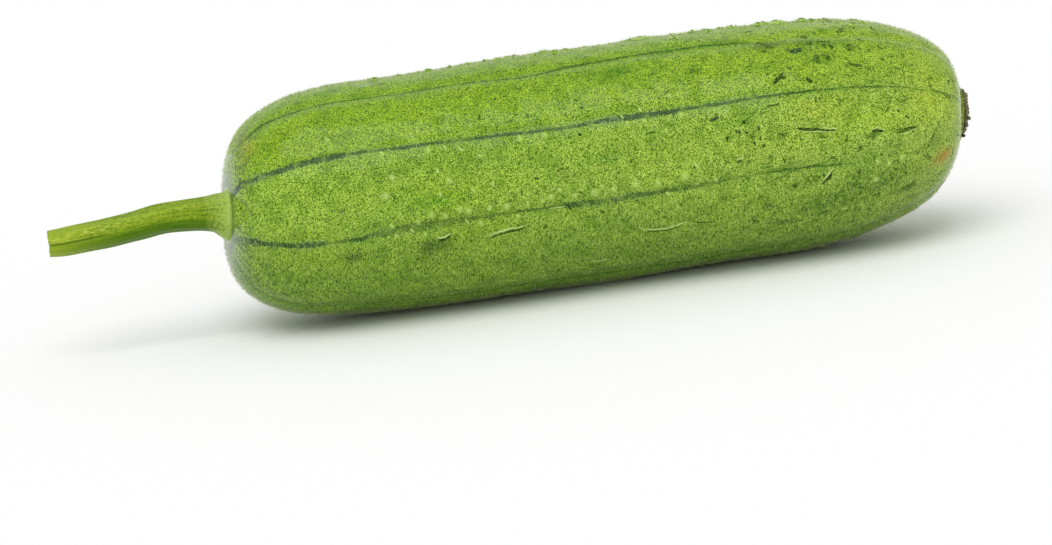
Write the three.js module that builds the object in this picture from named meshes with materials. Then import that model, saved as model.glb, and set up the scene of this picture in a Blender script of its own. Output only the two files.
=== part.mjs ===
// A whole sponge gourd (smooth luffa), as picked: the fruit, the cut stem that it hung by, and
// the corky scar that its flower left. It lies on its side on a small flat spot.
// Millimetres, +Z up. +X runs along the fruit from the stem to the blossom end, and -Y is its
// front. The origin is on the surface it lies on, below the middle of its length and width.

import * as THREE from "three";

const radians = THREE.MathUtils.degToRad;

// Driving dimensions of the fruit
const FRUIT_LENGTH = 229;
const GREATEST_RADIUS = 36;
const NECK_RADIUS = 7.8;
const NUB_RADIUS = 8;
const NUB_HEIGHT = 1.2;
const FLAT_SPOT_DEPTH = 0.7;

// How each end rounds off: how far from the end it starts, how full it is and how blunt
const SHOULDER = { reach: 69, fullness: 3.7, bluntness: 0.27 };
const DOME = { reach: 70, fullness: 2.1, bluntness: 0.28 };
const END_BLEND = 6;

// The fruit's lopsidedness: its neck end sits high, leans back and turns a little, the stem's
// seat is set lower in it, its nub leans forward, and it bows in plan
const NECK_RISE = 2.1;
const NECK_LEAN = radians(7.6);
const NECK_TURN = radians(6);
const NECK_REACH = 27;
const SEAT_DROP = 0.9;
const SEAT_REACH = 1.5;
const NUB_DROP = 0.45;
const NUB_LEAN = radians(8.2);
const NUB_REACH = 19;
const SIDE_BOW = 1.4;

// The nine vein lines, as angles round the fruit from its front (-Y) over its top (+Z), and
// the shallow furrow that each one lies in
const VEIN_ANGLES = [-56, -7, 32.5, 68, 102, 137, 171, 207, 246];
const FURROW_DEPTH = 0.55;
const FURROW_HALF_WIDTH = 2.3;
const FURROW_END_FADE = 12;

// Slow waves of the skin between the furrows: height, length along and turns round the fruit,
// with the phases that make it fullest below its weight
const WAVES = [
  { height: 0.3, length: 107, turns: 2, phase: radians(-107) },
  { height: 0.22, length: 57, turns: -3, phase: radians(193) },
];
const WAVE_END_FADE = 24;

// Low warts stand in loose rows beside the veins, and a few stand further off
const WART_COUNT = 126;
const WART_RADIUS = 1.9;
const WART_HEIGHT = 0.6;
const WARTS_FROM = 0.16;
const WARTS_TO = 0.9;
const GOLDEN_STEP = 0.6180339887;
const SIZE_STEP = 0.569840291;

// The stem: its centre line from the neck outwards, as distance, rise and sideways drift
const STEM_ROUTE = [
  [0, 0, 0],
  [2.7, 0.95, 0],
  [5, 1.2, 0.1],
  [12.4, 1.7, 0.3],
  [19.8, 1.75, 0.5],
  [27.4, 0.8, 0.6],
  [34.9, -0.05, 0.7],
  [42.3, -0.5, 0.8],
  [49.8, -0.85, 0.9],
  [54.5, -0.8, 1],
];
const STEM_RADIUS = 4.35;
const STEM_ROOT_SWELL = 0.55;
const STEM_SWELL_REACH = 14;
const STEM_FLARE = 2.9;
const STEM_FLARE_REACH = 3.6;
const STEM_TAPER = 0.5;
const STEM_CUT_REACH = 6;
const STEM_RIDGES = 5;
const STEM_FIRST_RIDGE = radians(39);
const STEM_RIDGE_SHARE = 0.07;
const STEM_TWIST = radians(10);
const STEM_CUT_LEAN = radians(7);

// The blossom scar: a ragged corky rim round a shallow dish
const SCAR_RADIUS = 7.2;
const SCAR_THICKNESS = 1.1;
const SCAR_DISH = 0.55;
// its section from the middle of its back round its rim to the middle of its face, as shares
// of the rim's radius and of the thickness there
const SCAR_PROFILE = [
  [0.5, 0],
  [0.93, 0],
  [1, 0.35],
  [0.99, 0.8],
  [0.9, 1],
  [0.74, 0.85],
  [0.55, 0.55],
  [0.25, 0.6],
];

// A cut of air between pieces that have grown together
const GROWN_GAP = 0.3;

// How finely each surface is divided
const FRUIT_STATIONS = 68;
const SECTOR_STEPS = [0, 0.06, 0.15, 0.28, 0.43, 0.57, 0.72, 0.85, 0.94];
const WART_STEPS = [2, 7, 2, 7, 3, 7, 2, 6];
const PROFILE_SAMPLES = 6000;
const STEM_STATIONS = 34;
const STEM_SIDES = 30;
const SCAR_SIDES = 36;

const FULL_TURN = 2 * Math.PI;
const fraction = (x) => x - Math.floor(x);

// A closed skin over rings of equally many points, with a flat fan over each end ring. Rings
// follow each other towards +X, and each goes from -Y over +Z.
function skin(rings) {
  const sides = rings[0].length;
  const points = rings.flat();
  const faces = [];
  for (let i = 0; i + 1 < rings.length; i++) {
    for (let j = 0; j < sides; j++) {
      const next = (j + 1) % sides;
      const [a, b] = [i * sides + j, i * sides + next];
      const [c, d] = [a + sides, b + sides];
      faces.push(a, d, b, a, c, d);
    }
  }
  const middle = (ring) =>
    ring.reduce((sum, p) => sum.add(p), new THREE.Vector3()).divideScalar(sides);
  const firstMiddle = points.push(middle(rings[0])) - 1;
  const lastMiddle = points.push(middle(rings.at(-1))) - 1;
  const lastRing = (rings.length - 1) * sides;
  for (let j = 0; j < sides; j++) {
    const next = (j + 1) % sides;
    faces.push(firstMiddle, j, next, lastMiddle, lastRing + next, lastRing + j);
  }
  const geometry = new THREE.BufferGeometry().setFromPoints(points).setIndex(faces);
  geometry.computeVertexNormals();
  return geometry;
}

// Share of the full radius at a distance from an end: a superellipse quarter.
function roundedEnd(distance, { reach, fullness, bluntness }) {
  const left = 1 - THREE.MathUtils.clamp(distance / reach, 0, 1);
  return Math.pow(1 - Math.pow(left, fullness), bluntness);
}

// The fruit's radius at a distance from its neck: both rounded ends, blended into neck and nub.
function fruitRadius(along) {
  const toDome = FRUIT_LENGTH - NUB_HEIGHT - along;
  const body = GREATEST_RADIUS * roundedEnd(along, SHOULDER) * roundedEnd(toDome, DOME);
  const core = along < FRUIT_LENGTH / 2 ? NECK_RADIUS : NUB_RADIUS;
  return Math.pow(body ** END_BLEND + core ** END_BLEND, 1 / END_BLEND);
}

// Places along the fruit at equal steps of arc over its profile, so blunt ends get their share.
function fruitStations() {
  const samples = Array.from({ length: PROFILE_SAMPLES + 1 }, (_, k) => {
    const along = (FRUIT_LENGTH * (1 - Math.cos((Math.PI * k) / PROFILE_SAMPLES))) / 2;
    return { along, radius: fruitRadius(along), arc: 0 };
  });
  for (let k = 1; k < samples.length; k++) {
    const [before, here] = [samples[k - 1], samples[k]];
    const step = Math.hypot(here.along - before.along, here.radius - before.radius);
    here.arc = before.arc + step;
  }
  const total = samples.at(-1).arc;
  return Array.from({ length: FRUIT_STATIONS }, (_, i) => {
    const wanted = (total * i) / (FRUIT_STATIONS - 1);
    return (samples.find((sample) => sample.arc >= wanted) ?? samples.at(-1)).along;
  });
}

// The angle at one of the steps from a vein to the next one round.
function sectorAngle(vein, step) {
  const from = VEIN_ANGLES[vein];
  const to = VEIN_ANGLES[vein + 1] ?? VEIN_ANGLES[0] + 360;
  return radians(from + (to - from) * SECTOR_STEPS[step]);
}

const STATIONS = fruitStations();
const ANGLES = VEIN_ANGLES.flatMap((_, vein) =>
  SECTOR_STEPS.map((_, step) => sectorAngle(vein, step)),
);

// Each wart stands on a station, so that the skin has a point at its top.
const WARTS = Array.from({ length: WART_COUNT }, (_, k) => {
  const share = WARTS_FROM + (WARTS_TO - WARTS_FROM) * fraction(k * GOLDEN_STEP);
  const step = WART_STEPS[Math.floor(k / VEIN_ANGLES.length) % WART_STEPS.length];
  return {
    along: STATIONS[Math.round(share * (FRUIT_STATIONS - 1))],
    angle: sectorAngle(k % VEIN_ANGLES.length, step),
    height: WART_HEIGHT * (0.55 + 0.45 * fraction(k * SIZE_STEP)),
  };
});

// The smallest turn from one angle to another.
function turnBetween(a, b) {
  return Math.abs(Math.atan2(Math.sin(a - b), Math.cos(a - b)));
}

// How far the skin stands out of its plain radius: waves, furrows and warts.
function relief(along, angle, radius) {
  const fromEnd = Math.min(along, FRUIT_LENGTH - along);
  let height = 0;
  for (const wave of WAVES) {
    const turn = (FULL_TURN * along) / wave.length + wave.turns * angle + wave.phase;
    height += wave.height * Math.sin(turn) * Math.min(1, fromEnd / WAVE_END_FADE);
  }
  for (const vein of VEIN_ANGLES) {
    const away = (radius * turnBetween(angle, radians(vein))) / FURROW_HALF_WIDTH;
    height -= FURROW_DEPTH * Math.exp(-away * away) * Math.min(1, fromEnd / FURROW_END_FADE);
  }
  for (const wart of WARTS) {
    const across = radius * turnBetween(angle, wart.angle);
    const away = Math.hypot(along - wart.along, across) / WART_RADIUS;
    height += wart.height * Math.exp(-away * away);
  }
  return height;
}

// The centre of the fruit's section at a distance from its neck.
function fruitCentre(along) {
  const seat = SEAT_DROP * Math.exp(-along / SEAT_REACH);
  const rise = NECK_RISE * Math.exp(-along / NECK_REACH) - seat;
  const drop = NUB_DROP * Math.exp(-(FRUIT_LENGTH - along) / NUB_REACH);
  const bow = SIDE_BOW * Math.sin((Math.PI * along) / FRUIT_LENGTH);
  return new THREE.Vector3(along, bow, rise - drop);
}

// The ways to a section's front and top, and the way out of the fruit at its neck.
function sectionAxes(along) {
  const atNeck = Math.exp(-along / NECK_REACH);
  const lean = NECK_LEAN * atNeck + NUB_LEAN * Math.exp((along - FRUIT_LENGTH) / NUB_REACH);
  const turn = NECK_TURN * atNeck;
  const front = new THREE.Vector3(Math.sin(turn), -Math.cos(turn), 0);
  const top = new THREE.Vector3(Math.sin(lean), 0, Math.cos(lean));
  const outwards = new THREE.Vector3().crossVectors(front, top).normalize();
  return { front, top, outwards };
}

// The point of a section at a distance and an angle from its centre.
function sectionPoint(centre, axes, reach, angle) {
  return centre
    .clone()
    .addScaledVector(axes.front, reach * Math.cos(angle))
    .addScaledVector(axes.top, reach * Math.sin(angle));
}

// A point of the fruit's skin, which is flat where it would pass below the floor.
function fruitPoint(along, angle, floor) {
  const radius = fruitRadius(along);
  const reach = radius + relief(along, angle, radius);
  const point = sectionPoint(fruitCentre(along), sectionAxes(along), reach, angle);
  point.z = Math.max(point.z, floor);
  return point;
}

// The rings of the fruit's skin above a floor.
function fruitRings(floor) {
  return STATIONS.map((along) => ANGLES.map((angle) => fruitPoint(along, angle, floor)));
}

// The height of the surface that the fruit lies on, a little above its lowest point.
function restingHeight() {
  const heights = fruitRings(-Infinity).flatMap((ring) => ring.map((point) => point.z));
  return Math.min(...heights) + FLAT_SPOT_DEPTH;
}

// The stem: five soft ridges that twist slowly along a bent line. It flares where it meets the
// fruit's neck face to face, and tapers to its free end, which is cut askew.
function stemGeometry() {
  const root = sectionAxes(0);
  const start = fruitCentre(0).addScaledVector(root.outwards, GROWN_GAP);
  const route = new THREE.CatmullRomCurve3(
    STEM_ROUTE.map(([out, rise, drift]) => new THREE.Vector3(-out, drift, rise).add(start)),
  );
  const length = route.getLength();
  const rings = Array.from({ length: STEM_STATIONS }, (_, i) => {
    // the stations gather towards the flared root
    const share = (i / (STEM_STATIONS - 1)) ** 1.7;
    const centre = route.getPointAt(share);
    const way = route.getTangentAt(share);
    const out = share * length;
    const atRoot = Math.exp(-out / STEM_FLARE_REACH);
    const atCut = Math.exp((out - length) / STEM_CUT_REACH);
    const slope = Math.atan2(way.z, -way.x) + STEM_CUT_LEAN * atCut;
    const axes = {
      front: new THREE.Vector3(-way.y, way.x, 0).normalize().lerp(root.front, atRoot),
      top: new THREE.Vector3(Math.sin(slope), 0, Math.cos(slope)).lerp(root.top, atRoot),
    };
    const swell =
      STEM_ROOT_SWELL * Math.exp(-out / STEM_SWELL_REACH) +
      STEM_FLARE * atRoot -
      STEM_TAPER * atCut;
    const ridges = STEM_RIDGE_SHARE * (1 - atRoot);
    return Array.from({ length: STEM_SIDES }, (_, j) => {
      const angle = (FULL_TURN * j) / STEM_SIDES;
      const turned = angle - STEM_FIRST_RIDGE - STEM_TWIST * share;
      const reach = (STEM_RADIUS + swell) * (1 + ridges * Math.cos(STEM_RIDGES * turned));
      return sectionPoint(centre, axes, reach, angle);
    });
  });
  return skin(rings.reverse());
}

// The scar's rim at an angle: how ragged its edge is, and how thick it stands.
function scarRim(angle) {
  const rag =
    0.07 * Math.sin(3 * angle + 1) +
    0.05 * Math.sin(7 * angle) +
    0.04 * Math.sin(11 * angle + 2);
  const swell = 0.45 * Math.sin(angle) + 0.15 * Math.sin(5 * angle + 2);
  return { rag, thickness: SCAR_THICKNESS * (1 + swell) };
}

// The blossom scar: a disc with a ragged rim, thickest above, round a shallow dish.
function scarGeometry() {
  const axes = sectionAxes(FRUIT_LENGTH);
  const base = fruitCentre(FRUIT_LENGTH);
  const ring = ([width, height]) =>
    Array.from({ length: SCAR_SIDES }, (_, j) => {
      const angle = (FULL_TURN * j) / SCAR_SIDES;
      const { rag, thickness } = scarRim(angle);
      const reach = SCAR_RADIUS * width * (1 + rag * width);
      const lift = GROWN_GAP + height * (SCAR_DISH + (thickness - SCAR_DISH) * width);
      const centre = base.clone().addScaledVector(axes.outwards, -lift);
      return sectionPoint(centre, axes, reach, angle);
    });
  return skin(SCAR_PROFILE.map(ring));
}

const rind = new THREE.MeshStandardMaterial({ color: "#82a63c", roughness: 0.62, metalness: 0 });
const stalk = new THREE.MeshStandardMaterial({ color: "#86a434", roughness: 0.5, metalness: 0 });
const cork = new THREE.MeshStandardMaterial({ color: "#6a6448", roughness: 0.95, metalness: 0 });

function named(name, geometry, material) {
  const mesh = new THREE.Mesh(geometry, material);
  mesh.name = name;
  return mesh;
}

const floor = restingHeight();
const gourd = new THREE.Group();
gourd.add(named("fruit", skin(fruitRings(floor)), rind));
gourd.add(named("stem", stemGeometry(), stalk));
gourd.add(named("blossom_scar", scarGeometry(), cork));

// Stands the gourd on the origin's plane, with the origin under the middle of its box.
const middle = new THREE.Box3().setFromObject(gourd).getCenter(new THREE.Vector3());
gourd.position.set(-middle.x, -middle.y, -floor);

const part = new THREE.Group();
part.add(gourd);
export default part;
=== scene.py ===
"""Looks of a whole sponge gourd (smooth luffa) on a white floor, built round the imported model.

The rind, the stem and the blossom scar are worked out again, much finer, from the same formulas
as the solids, and stand exactly where they stand. What the solids leave out is added on them:
pimples, scabs and flecks of the rind, its fine hairs and the crumbs of the scar. Sizes in here
are millimetres until a mesh is made.
"""

from functools import partial

import bpy
import numpy as np
from mathutils import Matrix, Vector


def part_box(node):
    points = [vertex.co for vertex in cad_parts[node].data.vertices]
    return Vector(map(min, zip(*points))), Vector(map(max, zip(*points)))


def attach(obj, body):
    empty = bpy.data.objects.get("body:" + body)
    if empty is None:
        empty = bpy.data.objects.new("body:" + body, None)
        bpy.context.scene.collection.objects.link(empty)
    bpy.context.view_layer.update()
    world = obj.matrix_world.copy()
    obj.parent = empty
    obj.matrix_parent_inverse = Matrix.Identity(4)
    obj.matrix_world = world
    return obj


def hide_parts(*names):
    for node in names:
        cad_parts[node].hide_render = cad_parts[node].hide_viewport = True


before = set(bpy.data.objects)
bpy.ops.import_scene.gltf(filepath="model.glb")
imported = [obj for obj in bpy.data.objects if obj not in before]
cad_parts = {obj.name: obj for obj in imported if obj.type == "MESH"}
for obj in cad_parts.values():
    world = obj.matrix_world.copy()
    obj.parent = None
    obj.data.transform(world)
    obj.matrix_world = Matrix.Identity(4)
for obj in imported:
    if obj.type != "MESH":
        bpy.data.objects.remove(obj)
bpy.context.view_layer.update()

METRES = 0.001
FULL_TURN = 2 * np.pi

# Driving dimensions of the fruit
FRUIT_LENGTH = 229
GREATEST_RADIUS = 36
NECK_RADIUS = 7.8
NUB_RADIUS = 8
NUB_HEIGHT = 1.2

# How each end rounds off: how far from the end it starts, how full it is and how blunt
SHOULDER = {"reach": 69, "fullness": 3.7, "bluntness": 0.27}
DOME = {"reach": 70, "fullness": 2.1, "bluntness": 0.28}
END_BLEND = 6

# Its lopsidedness: the neck sits high, leans back and turns a little, the stem's seat is set
# lower in it, and the nub leans forward
NECK_RISE = 2.1
NECK_LEAN = np.radians(7.6)
NECK_TURN = np.radians(6)
NECK_REACH = 27
SEAT_DROP = 0.9
SEAT_REACH = 1.5
NUB_DROP = 0.45
NUB_LEAN = np.radians(8.2)
NUB_REACH = 19
SIDE_BOW = 1.4

# The vein lines, as angles round the fruit from its front (-Y) over its top (+Z), and the ends
# of the sectors between them
VEIN_ANGLES = np.radians([-56, -7, 32.5, 68, 102, 137, 171, 207, 246])
VEINS = range(len(VEIN_ANGLES))
VEIN_ENDS = np.append(VEIN_ANGLES, VEIN_ANGLES[0] + FULL_TURN)
FURROW_DEPTH = 0.55
FURROW_HALF_WIDTH = 2.3
FURROW_END_FADE = 12

# Slow waves of the skin: height, length along, turns round the fruit and phase
WAVES = [(0.3, 107, 2, np.radians(-107)), (0.22, 57, -3, np.radians(193))]
WAVE_END_FADE = 24

# Low warts in loose rows beside the veins
WART_COUNT = 126
WART_RADIUS = 1.9
WART_HEIGHT = 0.6
WARTS_FROM = 0.16
WARTS_TO = 0.9
GOLDEN_STEP = 0.6180339887
SIZE_STEP = 0.569840291
WART_STATIONS = 68
WART_STEPS = [2, 7, 2, 7, 3, 7, 2, 6]
SECTOR_STEPS = np.array([0, 0.06, 0.15, 0.28, 0.43, 0.57, 0.72, 0.85, 0.94])
PROFILE_SAMPLES = 6000

# The stem: its centre line from the neck outwards, as distance, rise and sideways drift, and its
# swellings, ridges and cut
STEM_ROUTE = np.array([
    [0, 0, 0], [2.7, 0.95, 0], [5, 1.2, 0.1], [12.4, 1.7, 0.3], [19.8, 1.75, 0.5],
    [27.4, 0.8, 0.6], [34.9, -0.05, 0.7], [42.3, -0.5, 0.8], [49.8, -0.85, 0.9], [54.5, -0.8, 1],
])
STEM_RADIUS = 4.35
STEM_ROOT_SWELL = 0.55
STEM_SWELL_REACH = 14
STEM_FLARE = 2.9
STEM_FLARE_REACH = 3.6
STEM_TAPER = 0.5
STEM_CUT_REACH = 6
STEM_RIDGES = 5
STEM_FIRST_RIDGE = np.radians(39)
STEM_RIDGE_SHARE = 0.07
STEM_TWIST = np.radians(10)
STEM_CUT_LEAN = np.radians(7)
ROOT_SINK = 0.6

# Fine grooves along the stem: depth, how many round it, phase, and how far and slowly they sway
STEM_GROOVES = [(0.05, 23, 0, 1.3, 9), (0.035, 37, 2, 1, 5)]
STEM_LUMP = 0.08
# A groove darkened with painted shade and a band of pale scratches, partly painted highlight, along
# the stem: share of its length and angle round it
GROOVE_LINE = np.array([[0.4, 4], [0.7, 4], [1, 0]])
GROOVE_SHADE_SPREAD = np.radians(5)
SCUFF_HIGHLIGHT_LINE = np.array([[0.1, 50], [0.6, 36], [1, 22]])
SCUFF_HIGHLIGHT_SPREAD = np.radians(15)
# The cut face from its rim to its pith: shares of the radius and how far it stands out
CUT_SHARES = np.array([0.97, 0.9, 0.78, 0.62, 0.45, 0.28, 0.12])
CUT_DIPS = np.array([0.02, -0.12, -0.2, -0.2, -0.26, -0.4, -0.5])
CUT_TILT = 0.45
CUT_NOTCH = 0.5
NOTCH_SPREAD = 0.14

# The blossom scar, and its section as shares of its rim's radius and thickness
SCAR_RADIUS = 7.2
SCAR_THICKNESS = 1.1
SCAR_DISH = 0.55
SCAR_PROFILE = np.array([
    [0.5, 0], [0.93, 0], [1, 0.35], [0.99, 0.8], [0.9, 1], [0.74, 0.85], [0.55, 0.55], [0.25, 0.6],
])
GROWN_GAP = 0.3

# How finely the looks are divided
SKIN_STATIONS = 404
SKIN_SECTOR_STEPS = 27
STEM_STATIONS = 170
STEM_CROWDING = 1.35
ROUTE_SPLITS = 60
STEM_SIDES = 120
SCAR_RINGS = 26
SCAR_SIDES = 150

# The photograph and how it was taken: a long lens, a little above the gourd, held askew. Its
# scale is in millimetres to a pixel, and what the camera sees is bounded in metres
PHOTO_WIDTH = 1052
PHOTO_HEIGHT = 545
PHOTO_SCALE = 0.305
NECK_PIXEL = (227, 215.4)
LENS = 150
SENSOR = 36
FOCAL_PIXELS = LENS / SENSOR * PHOTO_WIDTH
NEAREST_SEEN = 0.05
FARTHEST_SEEN = 20
CAMERA_AZIMUTH = np.radians(-6)
CAMERA_ELEVATION = np.radians(12)
CAMERA_ROLL = np.radians(7.3)


def linear(hex_colour, alpha=1.0):
    """An sRGB hex colour as linear light, with an alpha."""
    shares = np.array([int(hex_colour[k : k + 2], 16) / 255 for k in (1, 3, 5)])
    light = np.where(shares <= 0.04045, shares / 12.92, ((shares + 0.055) / 1.055) ** 2.4)
    return (*(float(x) for x in light), alpha)


def smooth_step(x, low, high):
    """0 below low and 1 above high, with a soft S between them."""
    share = np.clip((x - low) / (high - low), 0, 1)
    return share * share * (3 - 2 * share)


def unit(vectors):
    """Vectors of length 1."""
    return vectors / np.linalg.norm(vectors, axis=-1, keepdims=True)


def run_length(*parts):
    """The length run so far along a line, from the coordinates of its points."""
    return np.concatenate([[0], np.cumsum(np.hypot(*(np.diff(part) for part in parts)))])


# The fruit's form


def rounded_end(distance, reach, fullness, bluntness):
    """Share of the full radius at a distance from an end: a superellipse quarter."""
    left = 1 - np.clip(distance / reach, 0, 1)
    return (1 - left**fullness) ** bluntness


def fruit_radius(along):
    """The radius at a distance from the neck: both rounded ends times the greatest radius,
    blended by a sixth-power sum into the neck or the nub."""
    to_dome = FRUIT_LENGTH - NUB_HEIGHT - along
    body = GREATEST_RADIUS * rounded_end(along, **SHOULDER) * rounded_end(to_dome, **DOME)
    core = np.where(along < FRUIT_LENGTH / 2, NECK_RADIUS, NUB_RADIUS)
    return (body**END_BLEND + core**END_BLEND) ** (1 / END_BLEND)


def fruit_stations(count):
    """Places along the fruit at equal steps of arc over its profile."""
    along = FRUIT_LENGTH * (1 - np.cos(np.linspace(0, np.pi, PROFILE_SAMPLES + 1))) / 2
    arc = run_length(along, fruit_radius(along))
    return np.interp(np.linspace(0, arc[-1], count), arc, along)


def fruit_centre(along):
    """The centre of a section: a bow in plan, raised at the neck, where the stem's seat is set
    lower, and lowered at the nub."""
    rise = NECK_RISE * np.exp(-along / NECK_REACH) - SEAT_DROP * np.exp(-along / SEAT_REACH)
    drop = NUB_DROP * np.exp(-(FRUIT_LENGTH - along) / NUB_REACH)
    bow = SIDE_BOW * np.sin(np.pi * along / FRUIT_LENGTH)
    return np.stack([along, bow, rise - drop], -1)


def section_axes(along):
    """The ways to a section's front and top and out of the neck. Lean and turn fade
    exponentially from the ends."""
    at_neck = np.exp(-along / NECK_REACH)
    lean = NECK_LEAN * at_neck + NUB_LEAN * np.exp((along - FRUIT_LENGTH) / NUB_REACH)
    turn = NECK_TURN * at_neck
    nothing = np.zeros_like(lean)
    front = np.stack([np.sin(turn), -np.cos(turn), nothing], -1)
    top = np.stack([np.sin(lean), nothing, np.cos(lean)], -1)
    return front, top, unit(np.cross(front, top))


def turn_between(a, b):
    """The smallest turn from one angle to another."""
    return np.abs((a - b + np.pi) % FULL_TURN - np.pi)


def bump_field(along, angle, radius, bumps):
    """The sum of round bumps: each height times exp(-(distance on the skin / reach) squared)."""
    height = np.zeros(np.broadcast(along, angle).shape)
    for bump_along, bump_angle, reach, bump_height in bumps:
        across = radius * turn_between(angle, bump_angle)
        away = ((along - bump_along) ** 2 + across**2) / reach**2
        height += bump_height * np.exp(-away)
    return height


def solid_warts():
    """The warts of the solids, as (along, angle, reach, height): golden steps along the fruit,
    and the same sector steps."""
    stations = fruit_stations(WART_STATIONS)
    k = np.arange(WART_COUNT)
    share = WARTS_FROM + (WARTS_TO - WARTS_FROM) * (k * GOLDEN_STEP % 1)
    along = stations[np.floor(share * (WART_STATIONS - 1) + 0.5).astype(int)]
    row, vein = np.divmod(k, len(VEINS))
    steps = SECTOR_STEPS[np.array(WART_STEPS)[row % len(WART_STEPS)]]
    angle = VEIN_ENDS[vein] + np.diff(VEIN_ENDS)[vein] * steps
    height = WART_HEIGHT * (0.55 + 0.45 * (k * SIZE_STEP % 1))
    return np.stack([along, angle, np.full(WART_COUNT, WART_RADIUS), height], -1)


WARTS = solid_warts()


def end_fade(along, reach):
    """A share that rises from 0 at either end of the fruit to 1 at a reach from it."""
    return np.minimum(1, np.minimum(along, FRUIT_LENGTH - along) / reach)


def relief(along, angle, radius):
    """How far the solids' skin stands out of its plain radius: warts and sine waves, less a
    bell-shaped furrow along each vein."""
    height = bump_field(along, angle, radius, WARTS)
    for wave_height, length, turns, phase in WAVES:
        turn = FULL_TURN * along / length + turns * angle + phase
        height += wave_height * np.sin(turn) * end_fade(along, WAVE_END_FADE)
    for vein in VEIN_ANGLES:
        away = radius * turn_between(angle, vein) / FURROW_HALF_WIDTH
        height -= FURROW_DEPTH * np.exp(-(away**2)) * end_fade(along, FURROW_END_FADE)
    return height


def section_point(along, angle, reach):
    """The point of a section at an angle and a distance from its centre."""
    front, top, _ = section_axes(along)
    way = np.cos(angle)[..., None] * front + np.sin(angle)[..., None] * top
    return fruit_centre(along) + reach[..., None] * way


def skin_grid():
    """Stations along and angles round the fruit, with equal steps between veins."""
    steps = np.arange(SKIN_SECTOR_STEPS) / SKIN_SECTOR_STEPS
    angles = (VEIN_ENDS[:-1, None] + np.diff(VEIN_ENDS)[:, None] * steps).ravel()
    return fruit_stations(SKIN_STATIONS), angles


STATIONS, ANGLES = skin_grid()
GRID_ALONG, GRID_ANGLE = np.meshgrid(STATIONS, ANGLES, indexing="ij")


def unplaced_points(along, angle):
    """Points of the skin with the furrows, waves and warts of the solids, in the formulas' frame."""
    radius = fruit_radius(along)
    return section_point(along, angle, radius + relief(along, angle, radius))


def standing_place():
    """How far the formulas' frame is moved to stand in the model's: the skin's own box is
    matched with the box of the solid fruit."""
    points = unplaced_points(GRID_ALONG, GRID_ANGLE)
    low, high = points.min((0, 1)), points.max((0, 1))
    box_low, box_high = (np.array(corner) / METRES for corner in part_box("fruit"))
    middle = (box_low[1] + box_high[1] - low[1] - high[1]) / 2
    return np.array([box_low[0] - low[0], middle, box_high[2] - high[2]])


PLACE = standing_place()
NECK_CENTRE = fruit_centre(np.array(0.0)) + PLACE
NECK_FRONT, NECK_TOP, NECK_OUT = section_axes(np.array(0.0))
NUB_CENTRE = fruit_centre(np.array(float(FRUIT_LENGTH))) + PLACE
NUB_FRONT, NUB_TOP, NUB_INWARDS = section_axes(np.array(float(FRUIT_LENGTH)))

# The camera, found from where the neck shows in the photograph


def camera_axes():
    """The camera's right, up and back, turned by its roll, and the point where it stands."""
    azimuth, elevation, roll = CAMERA_AZIMUTH, CAMERA_ELEVATION, CAMERA_ROLL
    level = np.cos(elevation)
    back = np.array([np.sin(azimuth) * level, -np.cos(azimuth) * level, np.sin(elevation)])
    right = np.array([np.cos(azimuth), np.sin(azimuth), 0])
    above = np.cross(back, right)
    rolled_right = right * np.cos(roll) - above * np.sin(roll)
    rolled_up = right * np.sin(roll) + above * np.cos(roll)
    target = (
        NECK_CENTRE
        + (PHOTO_WIDTH / 2 - NECK_PIXEL[0]) * PHOTO_SCALE * rolled_right
        - (PHOTO_HEIGHT / 2 - NECK_PIXEL[1]) * PHOTO_SCALE * rolled_up
    )
    return rolled_right, rolled_up, back, target + back * FOCAL_PIXELS * PHOTO_SCALE


CAMERA_RIGHT, CAMERA_UP, CAMERA_BACK, CAMERA_EYE = camera_axes()


def make_camera():
    """The scene's camera at the photograph's viewpoint."""
    data = bpy.data.cameras.new("photo_view")
    data.lens = LENS
    data.sensor_width = SENSOR
    data.clip_start = NEAREST_SEEN
    data.clip_end = FARTHEST_SEEN
    camera = bpy.data.objects.new("photo_view", data)
    matrix = np.eye(4)
    matrix[:3] = np.stack([CAMERA_RIGHT, CAMERA_UP, CAMERA_BACK, CAMERA_EYE * METRES], -1)
    camera.matrix_world = Matrix(matrix.tolist())
    bpy.context.scene.collection.objects.link(camera)
    bpy.context.scene.camera = camera


def photo_pixels(points):
    """Where points show in the photograph, in its pixels."""
    seen = points - CAMERA_EYE
    depth = -(seen @ CAMERA_BACK)
    across = PHOTO_WIDTH / 2 + FOCAL_PIXELS * (seen @ CAMERA_RIGHT) / depth
    down = PHOTO_HEIGHT / 2 - FOCAL_PIXELS * (seen @ CAMERA_UP) / depth
    return np.stack([across, down], -1)


def plain_points(along, angle):
    """Points of the solids' skin in the model's frame."""
    return unplaced_points(along, angle) + PLACE


def outward_ways(points, along, along_step, round_step):
    """The ways off the skin at its points, square to two steps on it."""
    outwards = np.cross(along_step, round_step)
    radial = points - (fruit_centre(along) + PLACE)
    return outwards * np.sign((outwards * radial).sum(-1, keepdims=True))


def seen_pixels():
    """Where the grid's points show in the photograph. Those that face away lie far outside."""
    points = plain_points(GRID_ALONG, GRID_ANGLE)
    round_step = np.roll(points, -1, 1) - np.roll(points, 1, 1)
    outwards = outward_ways(points, GRID_ALONG, np.gradient(points, axis=0), round_step)
    facing = (outwards * (CAMERA_EYE - points)).sum(-1) > 0
    return np.where(facing[..., None], photo_pixels(points), 1e6).reshape(-1, 2)


SEEN_PIXELS = seen_pixels()
# How far apart a slope is measured, the least slope that counts, and how far a place may move
NEWTON_STEP = 0.5
LEAST_SPREAD = 20
FARTHEST_MOVE = 1.5
FARTHEST_TURN = 0.05


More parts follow.
